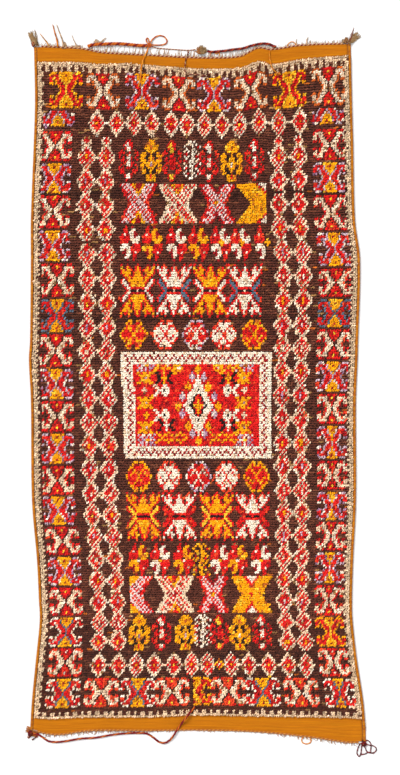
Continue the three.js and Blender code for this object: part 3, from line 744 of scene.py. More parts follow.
# Stretches of rows where the brown yarn was dyed nearly black: first, last, and the share of its tone
DARK_ROWS = [(50, 54, 0.55), (100, 103, 0.6), (190, 192, 0.7), (226, 270, 0.72)]
LEFT_TILES_END, RIGHT_TILES_START = 20, 140
FIELD_LEFT, FIELD_RIGHT = 41, 119
row, column = np.mgrid[0:ROWS, 0:COLUMNS]
in_field = (column > FIELD_LEFT) & (column < FIELD_RIGHT)
at_panel = in_field & (row >= first_row["birds_top"]) & (row < first_row["brooches_low"])


def knot_places():
    u = (column + 0.5) / COLUMNS
    s = ((row_edges[:-1] + row_edges[1:]) / 2)[row]
    upper = end_line(UPPER_END, PILE_LINE, u) - UPPER_MEAN
    lower = end_line(LOWER_END, PILE_LINE, u) - LOWER_MEAN
    y = UPPER_MEAN + (LOWER_MEAN - UPPER_MEAN) * s + upper * (1 - s) ** END_POWER + lower * s ** END_POWER
    return across(u, y), y, u, s


def tied_letters(rng):
    """The yarn of every knot, with the blends and the odd mis-tied knot, and which are ground."""
    slip = rng.random((ROWS, COLUMNS)) < MIS_TIED
    from_row = np.clip(row + slip * rng.integers(-1, 2, (ROWS, COLUMNS)), 0, ROWS - 1)
    from_column = np.clip(column + slip * rng.integers(-1, 2, (ROWS, COLUMNS)), 0, COLUMNS - 1)
    letters = knots[from_row, from_column]
    start = rng.integers(0, 5, (ROWS, 1))
    single = rng.random((ROWS, COLUMNS))
    run = single[row, (column + start) * 2 // 5]
    tied = letters.copy()
    for yarn, others in BLENDS.items():
        draw = run if yarn == "." else single
        low = 0.0
        for other, share in others.items():
            tied[(letters == yarn) & (draw >= low) & (draw < low + share)] = other
            low += share
    return tied, letters == "."


def knot_dyes(rng):
    letters, ground = tied_letters(rng)
    dyes = np.zeros((ROWS, COLUMNS, 3))
    for letter, yarn in YARNS.items():
        dyes[letters == letter] = linear(yarn)
    row_tone = 1 + ROW_STRAY * rng.standard_normal((ROWS, 1, 1))
    stray = SHADE_STRAY * np.where(at_panel, TRODDEN_STRAY, 1.0)[..., None]
    knot_tone = 1 + stray * rng.standard_normal((ROWS, COLUMNS, 1))
    ground_tone = 1 + GROUND_STRAY * rng.standard_normal((ROWS, COLUMNS, 1))
    for start, end, shade in DARK_ROWS:
        row_tone[start:end] *= shade
    worn_tone = row_tone * np.clip(ground_tone, *GROUND_TONES)
    tone = np.where(ground[..., None], worn_tone, np.clip(knot_tone, *KNOT_TONES))
    thickness = np.where(np.isin(letters, list(THIN_YARNS)), THIN_SHARE, 1.0)
    return dyes * tone, ground, thickness


def pile_group():
    """The group of the pattern that each knot belongs to."""
    group = np.full((ROWS, COLUMNS), "pile_field_top", dtype="<U24")
    group[row >= first_row["medallion"]] = "pile_panel"
    group[row >= first_row["rosettes_low"]] = "pile_field_low"
    group[~in_field] = "pile_side_diamonds"
    group[(row < first_row["brooches_top"]) | (row >= first_row["diamonds_low"])] = "pile_end_diamonds"
    group[(column < LEFT_TILES_END) | (column > RIGHT_TILES_START)] = "pile_side_tiles"
    group[(row < first_row["diamonds_top"]) | (row >= first_row["tiles_low"])] = "pile_end_tiles"
    return group


def cut_ends(x, y, swell, width, pitch, length, thickness, worn, trodden, dyes, rng):
    """Leaning wool ends, widening from a point at the knot to a cut three-cornered tip:
    points, faces, dyes and a map cell for each face."""
    count = len(x) * ENDS_PER_KNOT

    def for_ends(values):
        return np.repeat(values, ENDS_PER_KNOT, axis=0)

    cell = np.stack([width, pitch], axis=-1)
    offset = np.where(trodden[:, None, None], UPRIGHT, BUNCHED)
    offset = np.where(worn[:, None, None], IN_LINE, offset) * cell[:, None]
    middle = (np.c_[x, y][:, None] + offset).reshape(-1, 2)
    low = for_ends(trodden)[:, None]
    stray = np.where(low, TRODDEN_STRAY, 1.0)
    middle += PLACE_STRAY * stray * rng.standard_normal((count, 2))
    run = PILE_RUN * np.where(low, TRODDEN_LEAN, 1.0) + RUN_STRAY * stray * rng.standard_normal((count, 2))
    ahead = run / np.linalg.norm(run, axis=1, keepdims=True)
    aside = np.stack([-ahead[:, 1], ahead[:, 0]], axis=-1)
    flip = rng.choice([-1.0, 1.0], count)
    size = np.clip(1 + SIZE_STRAY * rng.standard_normal((count, 1)), *SIZE_RANGE)
    reach = TIP_CORNERS[None, :, 0] * flip[:, None] * END_LENGTH * size * for_ends(length)[:, None]
    spread = TIP_CORNERS[None, :, 1] * END_WIDTH * size * for_ends(thickness)[:, None]
    spread = spread * np.where(low, TRODDEN_WIDTH, 1.0)
    uneven = PILE_UNEVEN * np.clip(rng.standard_normal(count), *UNEVEN_RANGE)
    top = for_ends(swell - WORN_DEPTH * worn) + uneven
    points = np.empty((count, 4, 3))
    points[:, 0, :2] = middle - run
    points[:, 0, 2] = PILE_ROOT
    along = middle[:, None] + ahead[:, None] * reach[..., None]
    points[:, 1:, :2] = along + aside[:, None] * spread[..., None]
    points[:, 1:, 2] = top[:, None] - END_DROP * (0.5 - reach / END_LENGTH)
    edges = points[:, 1:] - points[:, :1]
    volume = np.einsum("ij,ij->i", edges[:, 0], np.cross(edges[:, 1], edges[:, 2]))
    outward = np.where(volume[:, None, None] > 0, END_FACES[None, :, ::-1], END_FACES[None])
    triangles = (np.arange(count)[:, None, None] * 4 + outward).reshape(-1, 3)
    tone = 1 + END_STRAY * rng.standard_normal((count, 1, 1))
    end_dyes = np.repeat(for_ends(dyes)[:, None] * tone, 4, axis=1)
    # Painted shade: each end darkens towards its root, down in the pile
    end_dyes[:, 0] *= np.where(low, TRODDEN_ROOT_SHADE, ROOT_SHADE)
    return points.reshape(-1, 3), [triangles], end_dyes.reshape(-1, 3), map_cells(count)


def map_cells(count):
    """A map square for each wool end, divided in four, one part to each face."""
    side = math.ceil(math.sqrt(count))
    place = np.stack([np.arange(count) % side, np.arange(count) // side], axis=-1)[:, None, None]
    quarter = np.array([(0, 0), (0.5, 0), (0, 0.5), (0.5, 0.5)])[None, :, None]
    triangle = np.array([(0.05, 0.05), (0.45, 0.05), (0.05, 0.45)])[None, None]
    return ((place + quarter + triangle) / side).reshape(-1, 2)


def cut_pile():
    rng = np.random.default_rng(PILE_SEED)
    x, y, u, s = knot_places()
    width, pitch = np.gradient(x, axis=1), -np.gradient(y, axis=0)
    waves = np.sin(u * SWELL_ACROSS[0] + s * SWELL_ALONG[0])
    waves = waves * np.cos(s * SWELL_ALONG[1] - u * SWELL_ACROSS[1])
    swell = PILE_TOP + SWELL_RISE * waves - SWELL_DROP
    dyes, worn, thickness = knot_dyes(rng)
    trodden = at_panel & ~worn
    length = np.where(in_field, FIELD_LENGTH, SIDE_LENGTH)
    length = np.where(worn, WORN_LENGTH, np.where(trodden, TRODDEN_LENGTH, length))
    finish = wool("pile_wool", mottle_scale=(60, 60, 60), mottle_reach=0.08,
                  fibre_scale=700, fibre_rise=0.0008)
    groups = pile_group()
    knot_values = (x, y, swell, width, pitch, length * thickness, thickness, worn, trodden, dyes)
    for name in sorted(set(groups.ravel())):
        *skin, cells = cut_ends(*(values[groups == name] for values in knot_values), rng)
        make_piece(name, *skin, finish, "pile_wool", ["rug_body"], cells)


cut_pile()

# Side cords
# The outermost warps of each long side, bundled and overcast from end to end with orange wool.
SIDE_CORD_HEIGHT = 0.010
FLAT_SHARE = 0.5
FLAT_RUN, FLAT_FADE = 0.035, 0.02
WRAP_PITCH = 0.0046
WRAP_STEPS = 4
WRAP_SIDES = 8
WRAP_GROOVE = 0.16
SIDE_LIGHT = (178, 109, 13)
SIDE_DEEP = (136, 62, 13)
RIDGE_POWER = 0.7
# Share of the dye kept in the grooves between the overcast turns, as painted shade
GROOVE_SHADE = 0.5
DEEPEST_WRAP = 0.25
SPARE_WRAPS = 40
SIDE_SEEDS = {"left": 5, "right": 6}


def tube_faces(rings, sides):
    """Faces of a closed tube whose points go round ring by ring."""
    corner = np.arange(rings * sides).reshape(rings, sides)
    after = np.roll(corner, -1, axis=1)
    quads = np.stack([corner[:-1], corner[1:], after[1:], after[:-1]], axis=-1).reshape(-1, 4)
    return [quads, corner[:1], corner[-1:, ::-1]]


def side_cord(node, side):
    column, inward, u = (LEFT, 1, 0.0) if side == "left" else (RIGHT, -1, 1.0)
    start = end_line(LOWER_END, EDGE, np.array([u]))[0]
    end = end_line(UPPER_END, EDGE, np.array([u]))[0]
    wraps = round((end - start) / WRAP_PITCH)
    y = np.linspace(start, end, wraps * WRAP_STEPS + 1)
    x = read_table(SIDES, column, y) + inward * SIDE_CORD_WIDTH / 2
    from_end = np.minimum(y - start, end - y)
    round_share = np.clip((from_end - FLAT_RUN) / FLAT_FADE, 0, 1)
    height = SIDE_CORD_HEIGHT * (FLAT_SHARE + (1 - FLAT_SHARE) * round_share)
    angle = 2 * math.pi * np.arange(WRAP_SIDES) / WRAP_SIDES
    turn = (y / WRAP_PITCH)[:, None] + angle[None, :] / (2 * math.pi)
    ridge = np.abs(np.sin(math.pi * turn)) ** RIDGE_POWER
    grown = 1 - WRAP_GROOVE * (1 - ridge)
    points = np.stack([
        x[:, None] + np.cos(angle) * SIDE_CORD_WIDTH / 2 * grown,
        np.repeat(y[:, None], WRAP_SIDES, axis=1),
        height[:, None] / 2 * (1 + np.sin(angle) * grown),
    ], axis=-1)
    rng = np.random.default_rng(SIDE_SEEDS[side])
    wrap_tone = rng.random(wraps + SPARE_WRAPS)[np.floor(turn - turn.min()).astype(int)]
    dyes = dyed_between(SIDE_DEEP, SIDE_LIGHT, DEEPEST_WRAP + (1 - DEEPEST_WRAP) * wrap_tone)
    # Painted shade darkens the grooves between the turns
    dyes = dyes * (GROOVE_SHADE + (1 - GROOVE_SHADE) * ridge[..., None])
    skin = points.reshape(-1, 3), tube_faces(len(y), WRAP_SIDES), dyes.reshape(-1, 3)
    make_piece(node + "_wool", *skin, side_finish, "side_wool", [node])


side_finish = wool("side_wool", mottle_scale=(60, 12, 60), mottle_reach=0.14,
                   fibre_scale=1200, fibre_rise=0.0005)
side_cord("selvedge_left", "left")
side_cord("selvedge_right", "right")

# Loose cords
# Plied wool cords of the end finish, left long after the rug came off the loom: two or three
# strands twisted together, lying over the floor, the woven ends and the pile.
ON_FLOOR = 0.0
ON_WOVEN = 0.0033
ON_PILE = 0.0130
# How deep the grooves between plies sink, and the share of the dye kept there as painted shade
PLY_GROOVE, PLY_SHADE = 0.34, 0.55
CORD_SIDES = 12
CORD_STEP = 0.0012
LONG_TWIST = 5.5
DARK_RED = (112, 19, 23)
DEEP_BROWN = (66, 20, 20)
RUST = (150, 60, 30)
BRIGHT_ORANGE = (194, 104, 8)
PALE_ORANGE = (204, 132, 40)
RUST_ORANGE = (178, 86, 22)
YARN_TAN = (184, 146, 108)
# A route goes from stop to stop, each stretch after the height of what it lies on
CORDS = {
    "edge_cord_left": {
        "radius": 0.0065, "plies": [RUST_ORANGE, RUST_ORANGE, DARK_RED], "twist": 2.4,
        "far_end": "knot", "slot": "twisted_yarn",
        "route": [
            (ON_FLOOR, (-0.384, 1.228), (-0.372, 1.233), (-0.350, 1.236), (-0.326, 1.237), (-0.297, 1.238),
             (-0.268, 1.238), (-0.232, 1.235), (-0.200, 1.232), (-0.1705, 1.2316)),
        ],
    },
    "edge_cord_middle": {
        "radius": 0.002, "plies": [DARK_RED, YARN_TAN], "twist": 2.7, "far_end": "knot", "slot": "dark_yarn",
        "route": [
            (ON_WOVEN, (-0.1546, 1.2284)),
            (ON_FLOOR, (-0.139, 1.2245), (-0.120, 1.222), (-0.095, 1.220), (-0.065, 1.218), (-0.035, 1.216),
             (-0.014, 1.216)),
            (ON_WOVEN, (0.0036, 1.218)),
        ],
    },
    "edge_cord_right": {
        "radius": 0.005, "plies": [DARK_RED, DEEP_BROWN, RUST], "twist": 2.6,
        "far_end": "bare", "slot": "dark_yarn",
        "route": [
            (ON_FLOOR, (0.046, 1.2126), (0.062, 1.209), (0.085, 1.211), (0.110, 1.213), (0.135, 1.217),
             (0.175, 1.222), (0.200, 1.230), (0.229, 1.237), (0.252, 1.239), (0.272, 1.236), (0.284, 1.230),
             (0.294, 1.228)),
        ],
    },
    "bow_loop": {
        "radius": 0.0028, "plies": [BRIGHT_ORANGE, RUST], "far_end": "knot", "slot": "orange_yarn",
        "route": [
            (ON_WOVEN, (-0.1584, 1.2426)),
            (ON_FLOOR, (-0.151, 1.254), (-0.139, 1.264), (-0.126, 1.268), (-0.113, 1.266), (-0.103, 1.258),
             (-0.099, 1.247), (-0.104, 1.239), (-0.115, 1.235), (-0.133, 1.234)),
            (ON_WOVEN, (-0.1526, 1.2342)),
        ],
    },
    "bow_tail": {
        "radius": 0.0032, "plies": [BRIGHT_ORANGE, PALE_ORANGE], "far_end": "bare", "slot": "orange_yarn",
        "route": [
            (ON_WOVEN, (-0.166, 1.2244), (-0.170, 1.212), (-0.176, 1.200), (-0.180, 1.191), (-0.184, 1.182)),
            (ON_PILE, (-0.187, 1.170), (-0.191, 1.152), (-0.193, 1.128), (-0.195, 1.110), (-0.199, 1.094),
             (-0.201, 1.082)),
        ],
    },
    "dark_tail": {
        "radius": 0.0022, "plies": [DARK_RED, YARN_TAN, DEEP_BROWN], "far_end": "bare", "slot": "dark_yarn",
        "route": [
            (ON_WOVEN, (-0.020, 1.212), (-0.024, 1.203), (-0.029, 1.192), (-0.031, 1.181), (-0.033, 1.171)),
            (ON_PILE, (-0.034, 1.158), (-0.034, 1.141), (-0.028, 1.130), (-0.014, 1.126), (0.006, 1.1255),
             (0.024, 1.1245), (0.038, 1.121), (0.048, 1.112), (0.056, 1.098)),
        ],
    },
    "orange_tail": {
        "radius": 0.002, "plies": [BRIGHT_ORANGE, PALE_ORANGE], "far_end": "bare", "slot": "orange_yarn",
        "route": [
            (ON_WOVEN, (0.271, 1.213), (0.270, 1.203), (0.270, 1.194), (0.271, 1.184)),
            (ON_PILE, (0.273, 1.172), (0.277, 1.155), (0.285, 1.142), (0.296, 1.133), (0.310, 1.127)),
        ],
    },
    "hem_cord": {
        "radius": 0.0040, "plies": [DARK_RED, RUST_ORANGE, DARK_RED],
        "far_end": "bare", "slot": "twisted_yarn",
        "route": [
            (ON_FLOOR, (-0.5799, -1.245), (-0.563, -1.247), (-0.545, -1.258), (-0.527, -1.270),
             (-0.502, -1.274), (-0.466, -1.271), (-0.412, -1.262), (-0.355, -1.258), (-0.304, -1.249),
             (-0.250, -1.243), (-0.196, -1.2415), (-0.171, -1.244), (-0.149, -1.257), (-0.128, -1.273),
             (-0.108, -1.277), (-0.090, -1.268)),
            (ON_WOVEN, (-0.076, -1.251), (-0.062, -1.229), (-0.051, -1.213)),
            (ON_PILE, (-0.037, -1.193), (-0.018, -1.168), (0.002, -1.145)),
        ],
    },
    "yarn_loop": {
        "radius": 0.0022, "plies": [BRIGHT_ORANGE, PALE_ORANGE], "far_end": "object", "slot": "orange_yarn",
        "route": [
            (ON_FLOOR, (0.391, -1.2563), (0.386, -1.265), (0.388, -1.275), (0.401, -1.281), (0.415, -1.277),
             (0.420, -1.268), (0.416, -1.259)),
        ],
    },
}


def cord_stops(cord):
    """The middle of a cord at each stop of its route."""
    return np.array([(x, y, under + cord["radius"]) for under, *stops in cord["route"] for x, y in stops])


def smooth_route(stops):
    """Points about one cord step apart on a smooth curve through the stops."""
    stops = np.asarray(stops)
    padded = np.concatenate([[2 * stops[0] - stops[1]], stops, [2 * stops[-1] - stops[-2]]])
    course = []
    for before, start, end, after in zip(padded, padded[1:], padded[2:], padded[3:]):
        knot_a = math.sqrt(np.linalg.norm(start - before))
        knot_b = math.sqrt(np.linalg.norm(end - start))
        knot_c = math.sqrt(np.linalg.norm(after - end))
        leave = (start - before) / knot_a - (end - before) / (knot_a + knot_b) + (end - start) / knot_b
        arrive = (end - start) / knot_b - (after - start) / (knot_b + knot_c) + (after - end) / knot_c
        leave, arrive = leave * knot_b, arrive * knot_b
        t = np.linspace(0, 1, max(3, math.ceil(knot_b ** 2 / CORD_STEP)), endpoint=False)[:, None]
        course.append(start + leave * t + (3 * (end - start) - 2 * leave - arrive) * t ** 2
                      + (2 * (start - end) + leave + arrive) * t ** 3)
    return np.concatenate(course + [stops[-1:]])


def course_length(course):
    return np.concatenate([[0], np.cumsum(np.linalg.norm(np.diff(course, axis=0), axis=1))])


def plied_yarn(course, radius, plies, sides=CORD_SIDES, twist=LONG_TWIST, taper=None):
    """Skin of a yarn of twisted plies along a course: points, faces and dyes."""
    along = course_length(course)
    heading = np.gradient(course, axis=0)
    heading /= np.linalg.norm(heading, axis=1, keepdims=True)
    level = np.cross(heading, (0.0, 0.0, 1.0))
    level /= np.linalg.norm(level, axis=1, keepdims=True)
    upward = np.cross(level, heading)
    angle = 2 * math.pi * np.arange(sides) / sides
    phase = angle[None, :] - (2 * math.pi * along / (twist * radius * 2))[:, None]
    count = len(plies)
    crest = np.abs(np.cos(phase * count / 2))
    reach = radius * (1 - PLY_GROOVE * (1 - crest))
    if taper is not None:
        reach = reach * taper(along / along[-1])[:, None]
    points = (course[:, None] + level[:, None] * (np.cos(angle) * reach)[..., None]
              + upward[:, None] * (np.sin(angle) * reach)[..., None])
    ply = np.floor(phase * count / (2 * math.pi) + 0.5).astype(int) % count
    # Painted shade darkens each ply towards the grooves between plies
    dyes = linear(plies)[ply] * (PLY_SHADE + (1 - PLY_SHADE) * crest[..., None])
    return points.reshape(-1, 3), tube_faces(len(course), sides), dyes.reshape(-1, 3)


def joined(parts):
    """Several skins as one: points, faces and dyes."""
    points, faces, dyes, count = [], [], [], 0
    for part_points, part_faces, part_dyes in parts:
        points.append(part_points)
        faces += [np.asarray(block) + count for block in part_faces]
        dyes.append(part_dyes)
        count += len(part_points)
    return np.concatenate(points), faces, np.concatenate(dyes)


yarn_finish = wool("plied_wool", mottle_scale=(150, 150, 150), mottle_reach=0.12,
                   fibre_scale=1500, fibre_rise=0.0004)
for name, cord in CORDS.items():
    course = smooth_route(cord_stops(cord))
    skin = plied_yarn(course, cord["radius"], cord["plies"], twist=cord.get("twist", LONG_TWIST))
    piece = make_piece(name + "_yarn", *skin, yarn_finish, cord["slot"], [name])

# Warp fringe
# The cut ends of the undyed warps, held along each woven edge by a twined row of dark and tan yarn.
# A few warps hang far out of the upper edge, some in bunches, and loops of the twining yarn stand out.
STRIP_WIDTH = 0.004
STRIP_INSET = 0.016
STRIP_RADIUS = 0.0030
STRIP_TWIST = 2.5
STRIP_POINTS = 700
WARP_RADIUS, WARP_LIFT, WARP_RINGS = 0.0012, 0.002, 6
WARPS = 400
WARP_SIDES = 4
CAUGHT_SHARE, CAUGHT_REACH, CORD_HOLD = 0.42, 0.85, 0.4
RAGGED_SHARE = 1.7
REACH_POWER = 1.6
WARP_LEAN = 0.3
# Twist of a loose strand, the share of its dye kept on the second ply as painted shade, and its narrowing
STRAND_TWIST, STRAND_SHADE, STRAND_NARROWING = 6.0, 0.82, 0.6
LEAST_WAVES, MORE_WAVES = 2, 3
BUNCH_STRAY, BUNCH_SHORTEST, BUNCH_SPREAD, BUNCH_LIFT = 0.0008, 0.72, 0.16, 0.3
# The share of a long warp's dye kept on its second ply as painted shade, then its sway, waves and points
LONG_SHADE, LONG_SWAY, LONG_WAVES, LONG_POINTS = 0.8, 0.0012, 7, 24
YARN_SIDES = 8
PALE_WARP, TAN_WARP, GREY_WARP = (206, 172, 142), (184, 146, 108), (152, 124, 98)
RUSTY_WARP, AMBER_WARP = (150, 86, 42), (186, 124, 54)
UPPER_WARPS = {
    "reach": (0.005, 0.015), "dyes": [PALE_WARP, AMBER_WARP, PALE_WARP, TAN_WARP], "curl": 0.12,
    "twined": [DARK_RED, YARN_TAN], "ragged": [], "seed": 21,
}
LOWER_WARPS = {
    "reach": (0.003, 0.010), "dyes": [AMBER_WARP, RUSTY_WARP, BRIGHT_ORANGE, TAN_WARP], "curl": 0.3,
    "twined": [AMBER_WARP, RUSTY_WARP], "ragged": [(-0.54, -0.15), (0.30, 0.58)], "seed": 22,
}
# Across, reach, lean of the tip, radius, dye
LONG_WARPS = [
    (-0.527, 0.047, -0.030, 0.0034, AMBER_WARP), (-0.493, 0.081, -0.018, 0.0040, BRIGHT_ORANGE),
    (-0.473, 0.082, -0.024, 0.0032, TAN_WARP), (-0.426, 0.046, -0.016, 0.0025, TAN_WARP),
    (0.366, 0.025, 0.002, 0.0022, TAN_WARP), (0.402, 0.028, 0.007, 0.0030, TAN_WARP),
    (0.416, 0.017, 0.001, 0.0016, TAN_WARP), (0.440, 0.015, -0.003, 0.0016, GREY_WARP),
    (0.470, 0.014, 0.002, 0.0016, GREY_WARP), (0.497, 0.013, 0.004, 0.0016, GREY_WARP),
]
# Start and tip, half spread at each, number of strands, dyes
UPPER_BUNCHES = [
    ((-0.466, 1.222), (-0.468, 1.246), 0.010, 0.004, 16, [TAN_WARP, GREY_WARP]),
    ((-0.424, 1.222), (-0.424, 1.235), 0.013, 0.016, 30, [(180, 128, 104), TAN_WARP]),
    ((-0.352, 1.240), (-0.346, 1.254), 0.012, 0.011, 26, [TAN_WARP, PALE_WARP]),
    ((-0.340, 1.242), (-0.317, 1.262), 0.002, 0.001, 4, [TAN_WARP]),
    ((0.535, 1.240), (0.535, 1.258), 0.006, 0.005, 10, [TAN_WARP, GREY_WARP]),
]
LOWER_BUNCHES = [
    ((-0.588, -1.240), (-0.560, -1.250), 0.010, 0.012, 40, [AMBER_WARP, RUSTY_WARP, BRIGHT_ORANGE]),
    ((-0.586, -1.232), (-0.608, -1.226), 0.008, 0.013, 30, [AMBER_WARP, RUSTY_WARP, BRIGHT_ORANGE]),
]
UPPER_LOOPS = [
    [(0.054, 1.194), (0.060, 1.206), (0.070, 1.210), (0.077, 1.203), (0.088, 1.206), (0.092, 1.196)],
    [(0.334, 1.230), (0.340, 1.241), (0.350, 1.246), (0.360, 1.243), (0.366, 1.234)],
]
LOOP_RADIUS, LOOP_LIFT = 0.0018, 0.001


def narrowing(share):
    return 1 - STRAND_NARROWING * share


# Two plies of one dye, the second a darker copy: painted shade along the twist
def shaded_pair(dye, shade):
    return [dye, tuple(shade * part for part in dye)]


def strand(start, tip, radius, dye, rng, sway=0.06, lift=0.003, rings=7):
    """One loose yarn end from a start to a tip on the floor, a little wavy."""
    share = np.linspace(0, 1, rings)[:, None]
    start, tip = np.array(start), np.array(tip)
    aside = np.array((start[1] - tip[1], tip[0] - start[0]))
    wave = sway * rng.standard_normal() * np.sin(share * (LEAST_WAVES + MORE_WAVES * rng.random())) * share
    flat = start + (tip - start) * share + aside * wave
    height = lift * (1 - share) ** 2 + radius
    course = np.concatenate([flat, height], axis=1)
    return plied_yarn(course, radius, shaded_pair(dye, STRAND_SHADE), WARP_SIDES, STRAND_TWIST, narrowing)


def bunch(start, tip, start_spread, tip_spread, count, dyes, rng, radius=WARP_RADIUS, lift=0.004):
    """A bunch of loose strands that spreads from its start to its tip."""
    start, tip = np.array(start), np.array(tip)
    aside = np.array((start[1] - tip[1], tip[0] - start[0])) / np.linalg.norm(tip - start)
    strands = []
    for number in range(count):
        place = 2 * (number + 0.5) / count - 1
        root = start + aside * start_spread * place + BUNCH_STRAY * rng.standard_normal(2)
        share = BUNCH_SHORTEST + (1 - BUNCH_SHORTEST) * rng.random()
        end = start + (tip - start) * share
        end += aside * tip_spread * (place + BUNCH_SPREAD * rng.standard_normal())
        dye = dyes[rng.integers(len(dyes))]
        strands.append(strand(root, end, radius, dye, rng, lift=lift * (BUNCH_LIFT + rng.random())))
    return strands


def cord_room(x):
    """How far along the rug a cord lies over the upper edge at a place across, or nothing there."""
    for name in ("edge_cord_left", "edge_cord_middle", "edge_cord_right"):
        stops = cord_stops(CORDS[name])
        if stops[0, 0] < x < stops[-1, 0]:
            return np.interp(x, stops[:, 0], stops[:, 1]) - CORD_HOLD * CORDS[name]["radius"]
    return None


def fringe(node, table, outward, warps, long_warps, bunches, loops):
    rng = np.random.default_rng(warps["seed"])
    edge_y = table[0, EDGE]
    inset = STRIP_INSET / (across(1.0, edge_y) - across(0.0, edge_y))
    u = np.linspace(inset, 1 - inset, STRIP_POINTS)
    y = end_line(table, EDGE, u) + outward * (SEAT_GAP + STRIP_WIDTH / 2)
    row = np.c_[across(u, end_line(table, EDGE, u)), y, np.full_like(u, STRIP_RADIUS)]
    parts = [plied_yarn(row, STRIP_RADIUS, warps["twined"], YARN_SIDES, STRIP_TWIST)]
    for warp in range(WARPS):
        x = row[0, 0] + (row[-1, 0] - row[0, 0]) * (warp + rng.random()) / WARPS
        root = np.interp(x, row[:, 0], row[:, 1])
        low, high = warps["reach"]
        reach = low + (high - low) * rng.random() ** REACH_POWER
        if any(first < x < last for first, last in warps["ragged"]):
            reach *= RAGGED_SHARE
        room = cord_room(x) if outward > 0 else None
        if room is not None and rng.random() < CAUGHT_SHARE:
            reach = (room - root) * (CAUGHT_REACH + (1 - CAUGHT_REACH) * rng.random())
        lean = WARP_LEAN * reach * rng.standard_normal()
        dye = warps["dyes"][rng.integers(len(warps["dyes"]))]
        tip = (x + lean, root + outward * reach)
        parts.append(strand((x, root), tip, WARP_RADIUS, dye, rng, warps["curl"], WARP_LIFT, WARP_RINGS))
    for x, reach, lean, radius, dye in long_warps:
        root = np.interp(x, row[:, 0], row[:, 1])
        bend = np.linspace(0, 1, LONG_POINTS)[:, None]
        aside = x + lean * bend ** REACH_POWER + LONG_SWAY * np.sin(LONG_WAVES * bend)
        height = WARP_LIFT * (1 - bend) ** 2 + radius
        course = np.concatenate([aside, root + outward * reach * bend, height], axis=1)
        plies = shaded_pair(dye, LONG_SHADE)
        parts.append(plied_yarn(course, radius, plies, YARN_SIDES, STRAND_TWIST, narrowing))
    for facts in bunches:
        parts += bunch(*facts, rng)
    for loop in loops:
        course = smooth_route([(x, y, LOOP_RADIUS + LOOP_LIFT) for x, y in loop])
        parts.append(plied_yarn(course, LOOP_RADIUS, [BRIGHT_ORANGE, PALE_ORANGE], YARN_SIDES))
    make_piece(node + "_yarns", *joined(parts), yarn_finish, "warp_wool", [node])


fringe("fringe_top", UPPER_END, 1, UPPER_WARPS, LONG_WARPS, UPPER_BUNCHES, UPPER_LOOPS)
fringe("fringe_bottom", LOWER_END, -1, LOWER_WARPS, [], LOWER_BUNCHES, [])

# Corner tassels
# At the upper corners the side cords end in a few turns of dark yarn, with the loose warp ends
# brushed out beyond them.
TASSEL_TAN, TASSEL_OLIVE, TASSEL_RED = (168, 132, 88), (138, 108, 70), (128, 64, 48)
LOCK_RADIUS, LOCK_LIFT = 0.0011, 0.009
BINDING_TURNS, BINDING_SEED = 4, 31
BALL_YARN, BALL_POINTS = 0.34, 40
TILT_STRAY = 0.3
LEAST_LIFT, MORE_LIFT = 0.35, 0.55
LEAST_TURN, MORE_TURN = 0.7, 0.4
CORE_SHARE, CORE_RINGS, CORE_POLE = 0.6, 8, 0.98
TASSELS = {
    "tassel_top_left": {
        "binding": (-0.579, 1.2365), "half": (0.007, 0.009, 0.0055),
        "locks": [
            ((-0.571, 1.234), (-0.594, 1.284), 0.008, 0.008, 56, [TASSEL_TAN, TASSEL_OLIVE, TASSEL_TAN]),
            ((-0.567, 1.242), (-0.575, 1.296), 0.002, 0.0004, 8, [TASSEL_OLIVE, TASSEL_TAN]),
            ((-0.564, 1.230), (-0.571, 1.258), 0.004, 0.003, 16, [TASSEL_TAN, RUSTY_WARP, TASSEL_OLIVE]),
            ((-0.579, 1.228), (-0.587, 1.245), 0.003, 0.003, 16, [DARK_RED, DEEP_BROWN]),
        ],
    },
    "tassel_top_right": {
        "binding": (0.556, 1.243), "half": (0.007, 0.007, 0.005),
        "locks": [
            ((0.553, 1.241), (0.594, 1.276), 0.007, 0.012, 52, [TASSEL_TAN, TASSEL_OLIVE, TASSEL_TAN]),
            ((0.557, 1.244), (0.574, 1.298), 0.003, 0.001, 8, [TASSEL_RED, RUSTY_WARP]),
            ((0.539, 1.241), (0.550, 1.264), 0.007, 0.006, 22, [TASSEL_TAN, RUSTY_WARP]),
        ],
    },
}


def yarn_ball(place, half, dye_pair, turns, seed):
    """A knot of yarn: turns of plied yarn laid round a squashed ball, and the ball inside them."""
    rng = np.random.default_rng(seed)
    half, middle = np.array(half), (*place, half[2])
    yarn_radius = half[2] * BALL_YARN
    plies = [dye_pair, dye_pair[:1] * 2, dye_pair[1:] * 2]
    around = np.linspace(0, 2 * math.pi, BALL_POINTS)
    x, upward = np.cos(around), np.sin(around)
    parts = [ball_core(middle, half, dye_pair[1])]
    for turn in range(turns):
        tilt = math.pi * turn / turns + TILT_STRAY * rng.standard_normal()
        lift = MORE_LIFT * rng.random() + LEAST_LIFT
        y = upward * math.cos(lift)
        swung = np.stack([x * math.cos(tilt) - y * math.sin(tilt), x * math.sin(tilt) + y * math.cos(tilt),
                          upward * math.sin(lift)], axis=-1)
        size = np.append(LEAST_TURN + MORE_TURN * rng.random(2), 1)
        course = swung * (half - yarn_radius) * size + middle
        parts.append(plied_yarn(course, yarn_radius, plies[turn % 3], YARN_SIDES))
    return parts


def ball_core(middle, half, dye):
    height = np.linspace(CORE_POLE, -CORE_POLE, CORE_RINGS)[:, None]
    angle = 2 * math.pi * np.arange(CORD_SIDES)[None] / CORD_SIDES
    wide = np.sqrt(1 - height ** 2)
    points = np.stack([wide * np.cos(angle), wide * np.sin(angle), height + 0 * angle], axis=-1)
    points = (points * half * CORE_SHARE + middle).reshape(-1, 3)
    return points, tube_faces(CORE_RINGS, CORD_SIDES), np.tile(linear(dye), (len(points), 1))


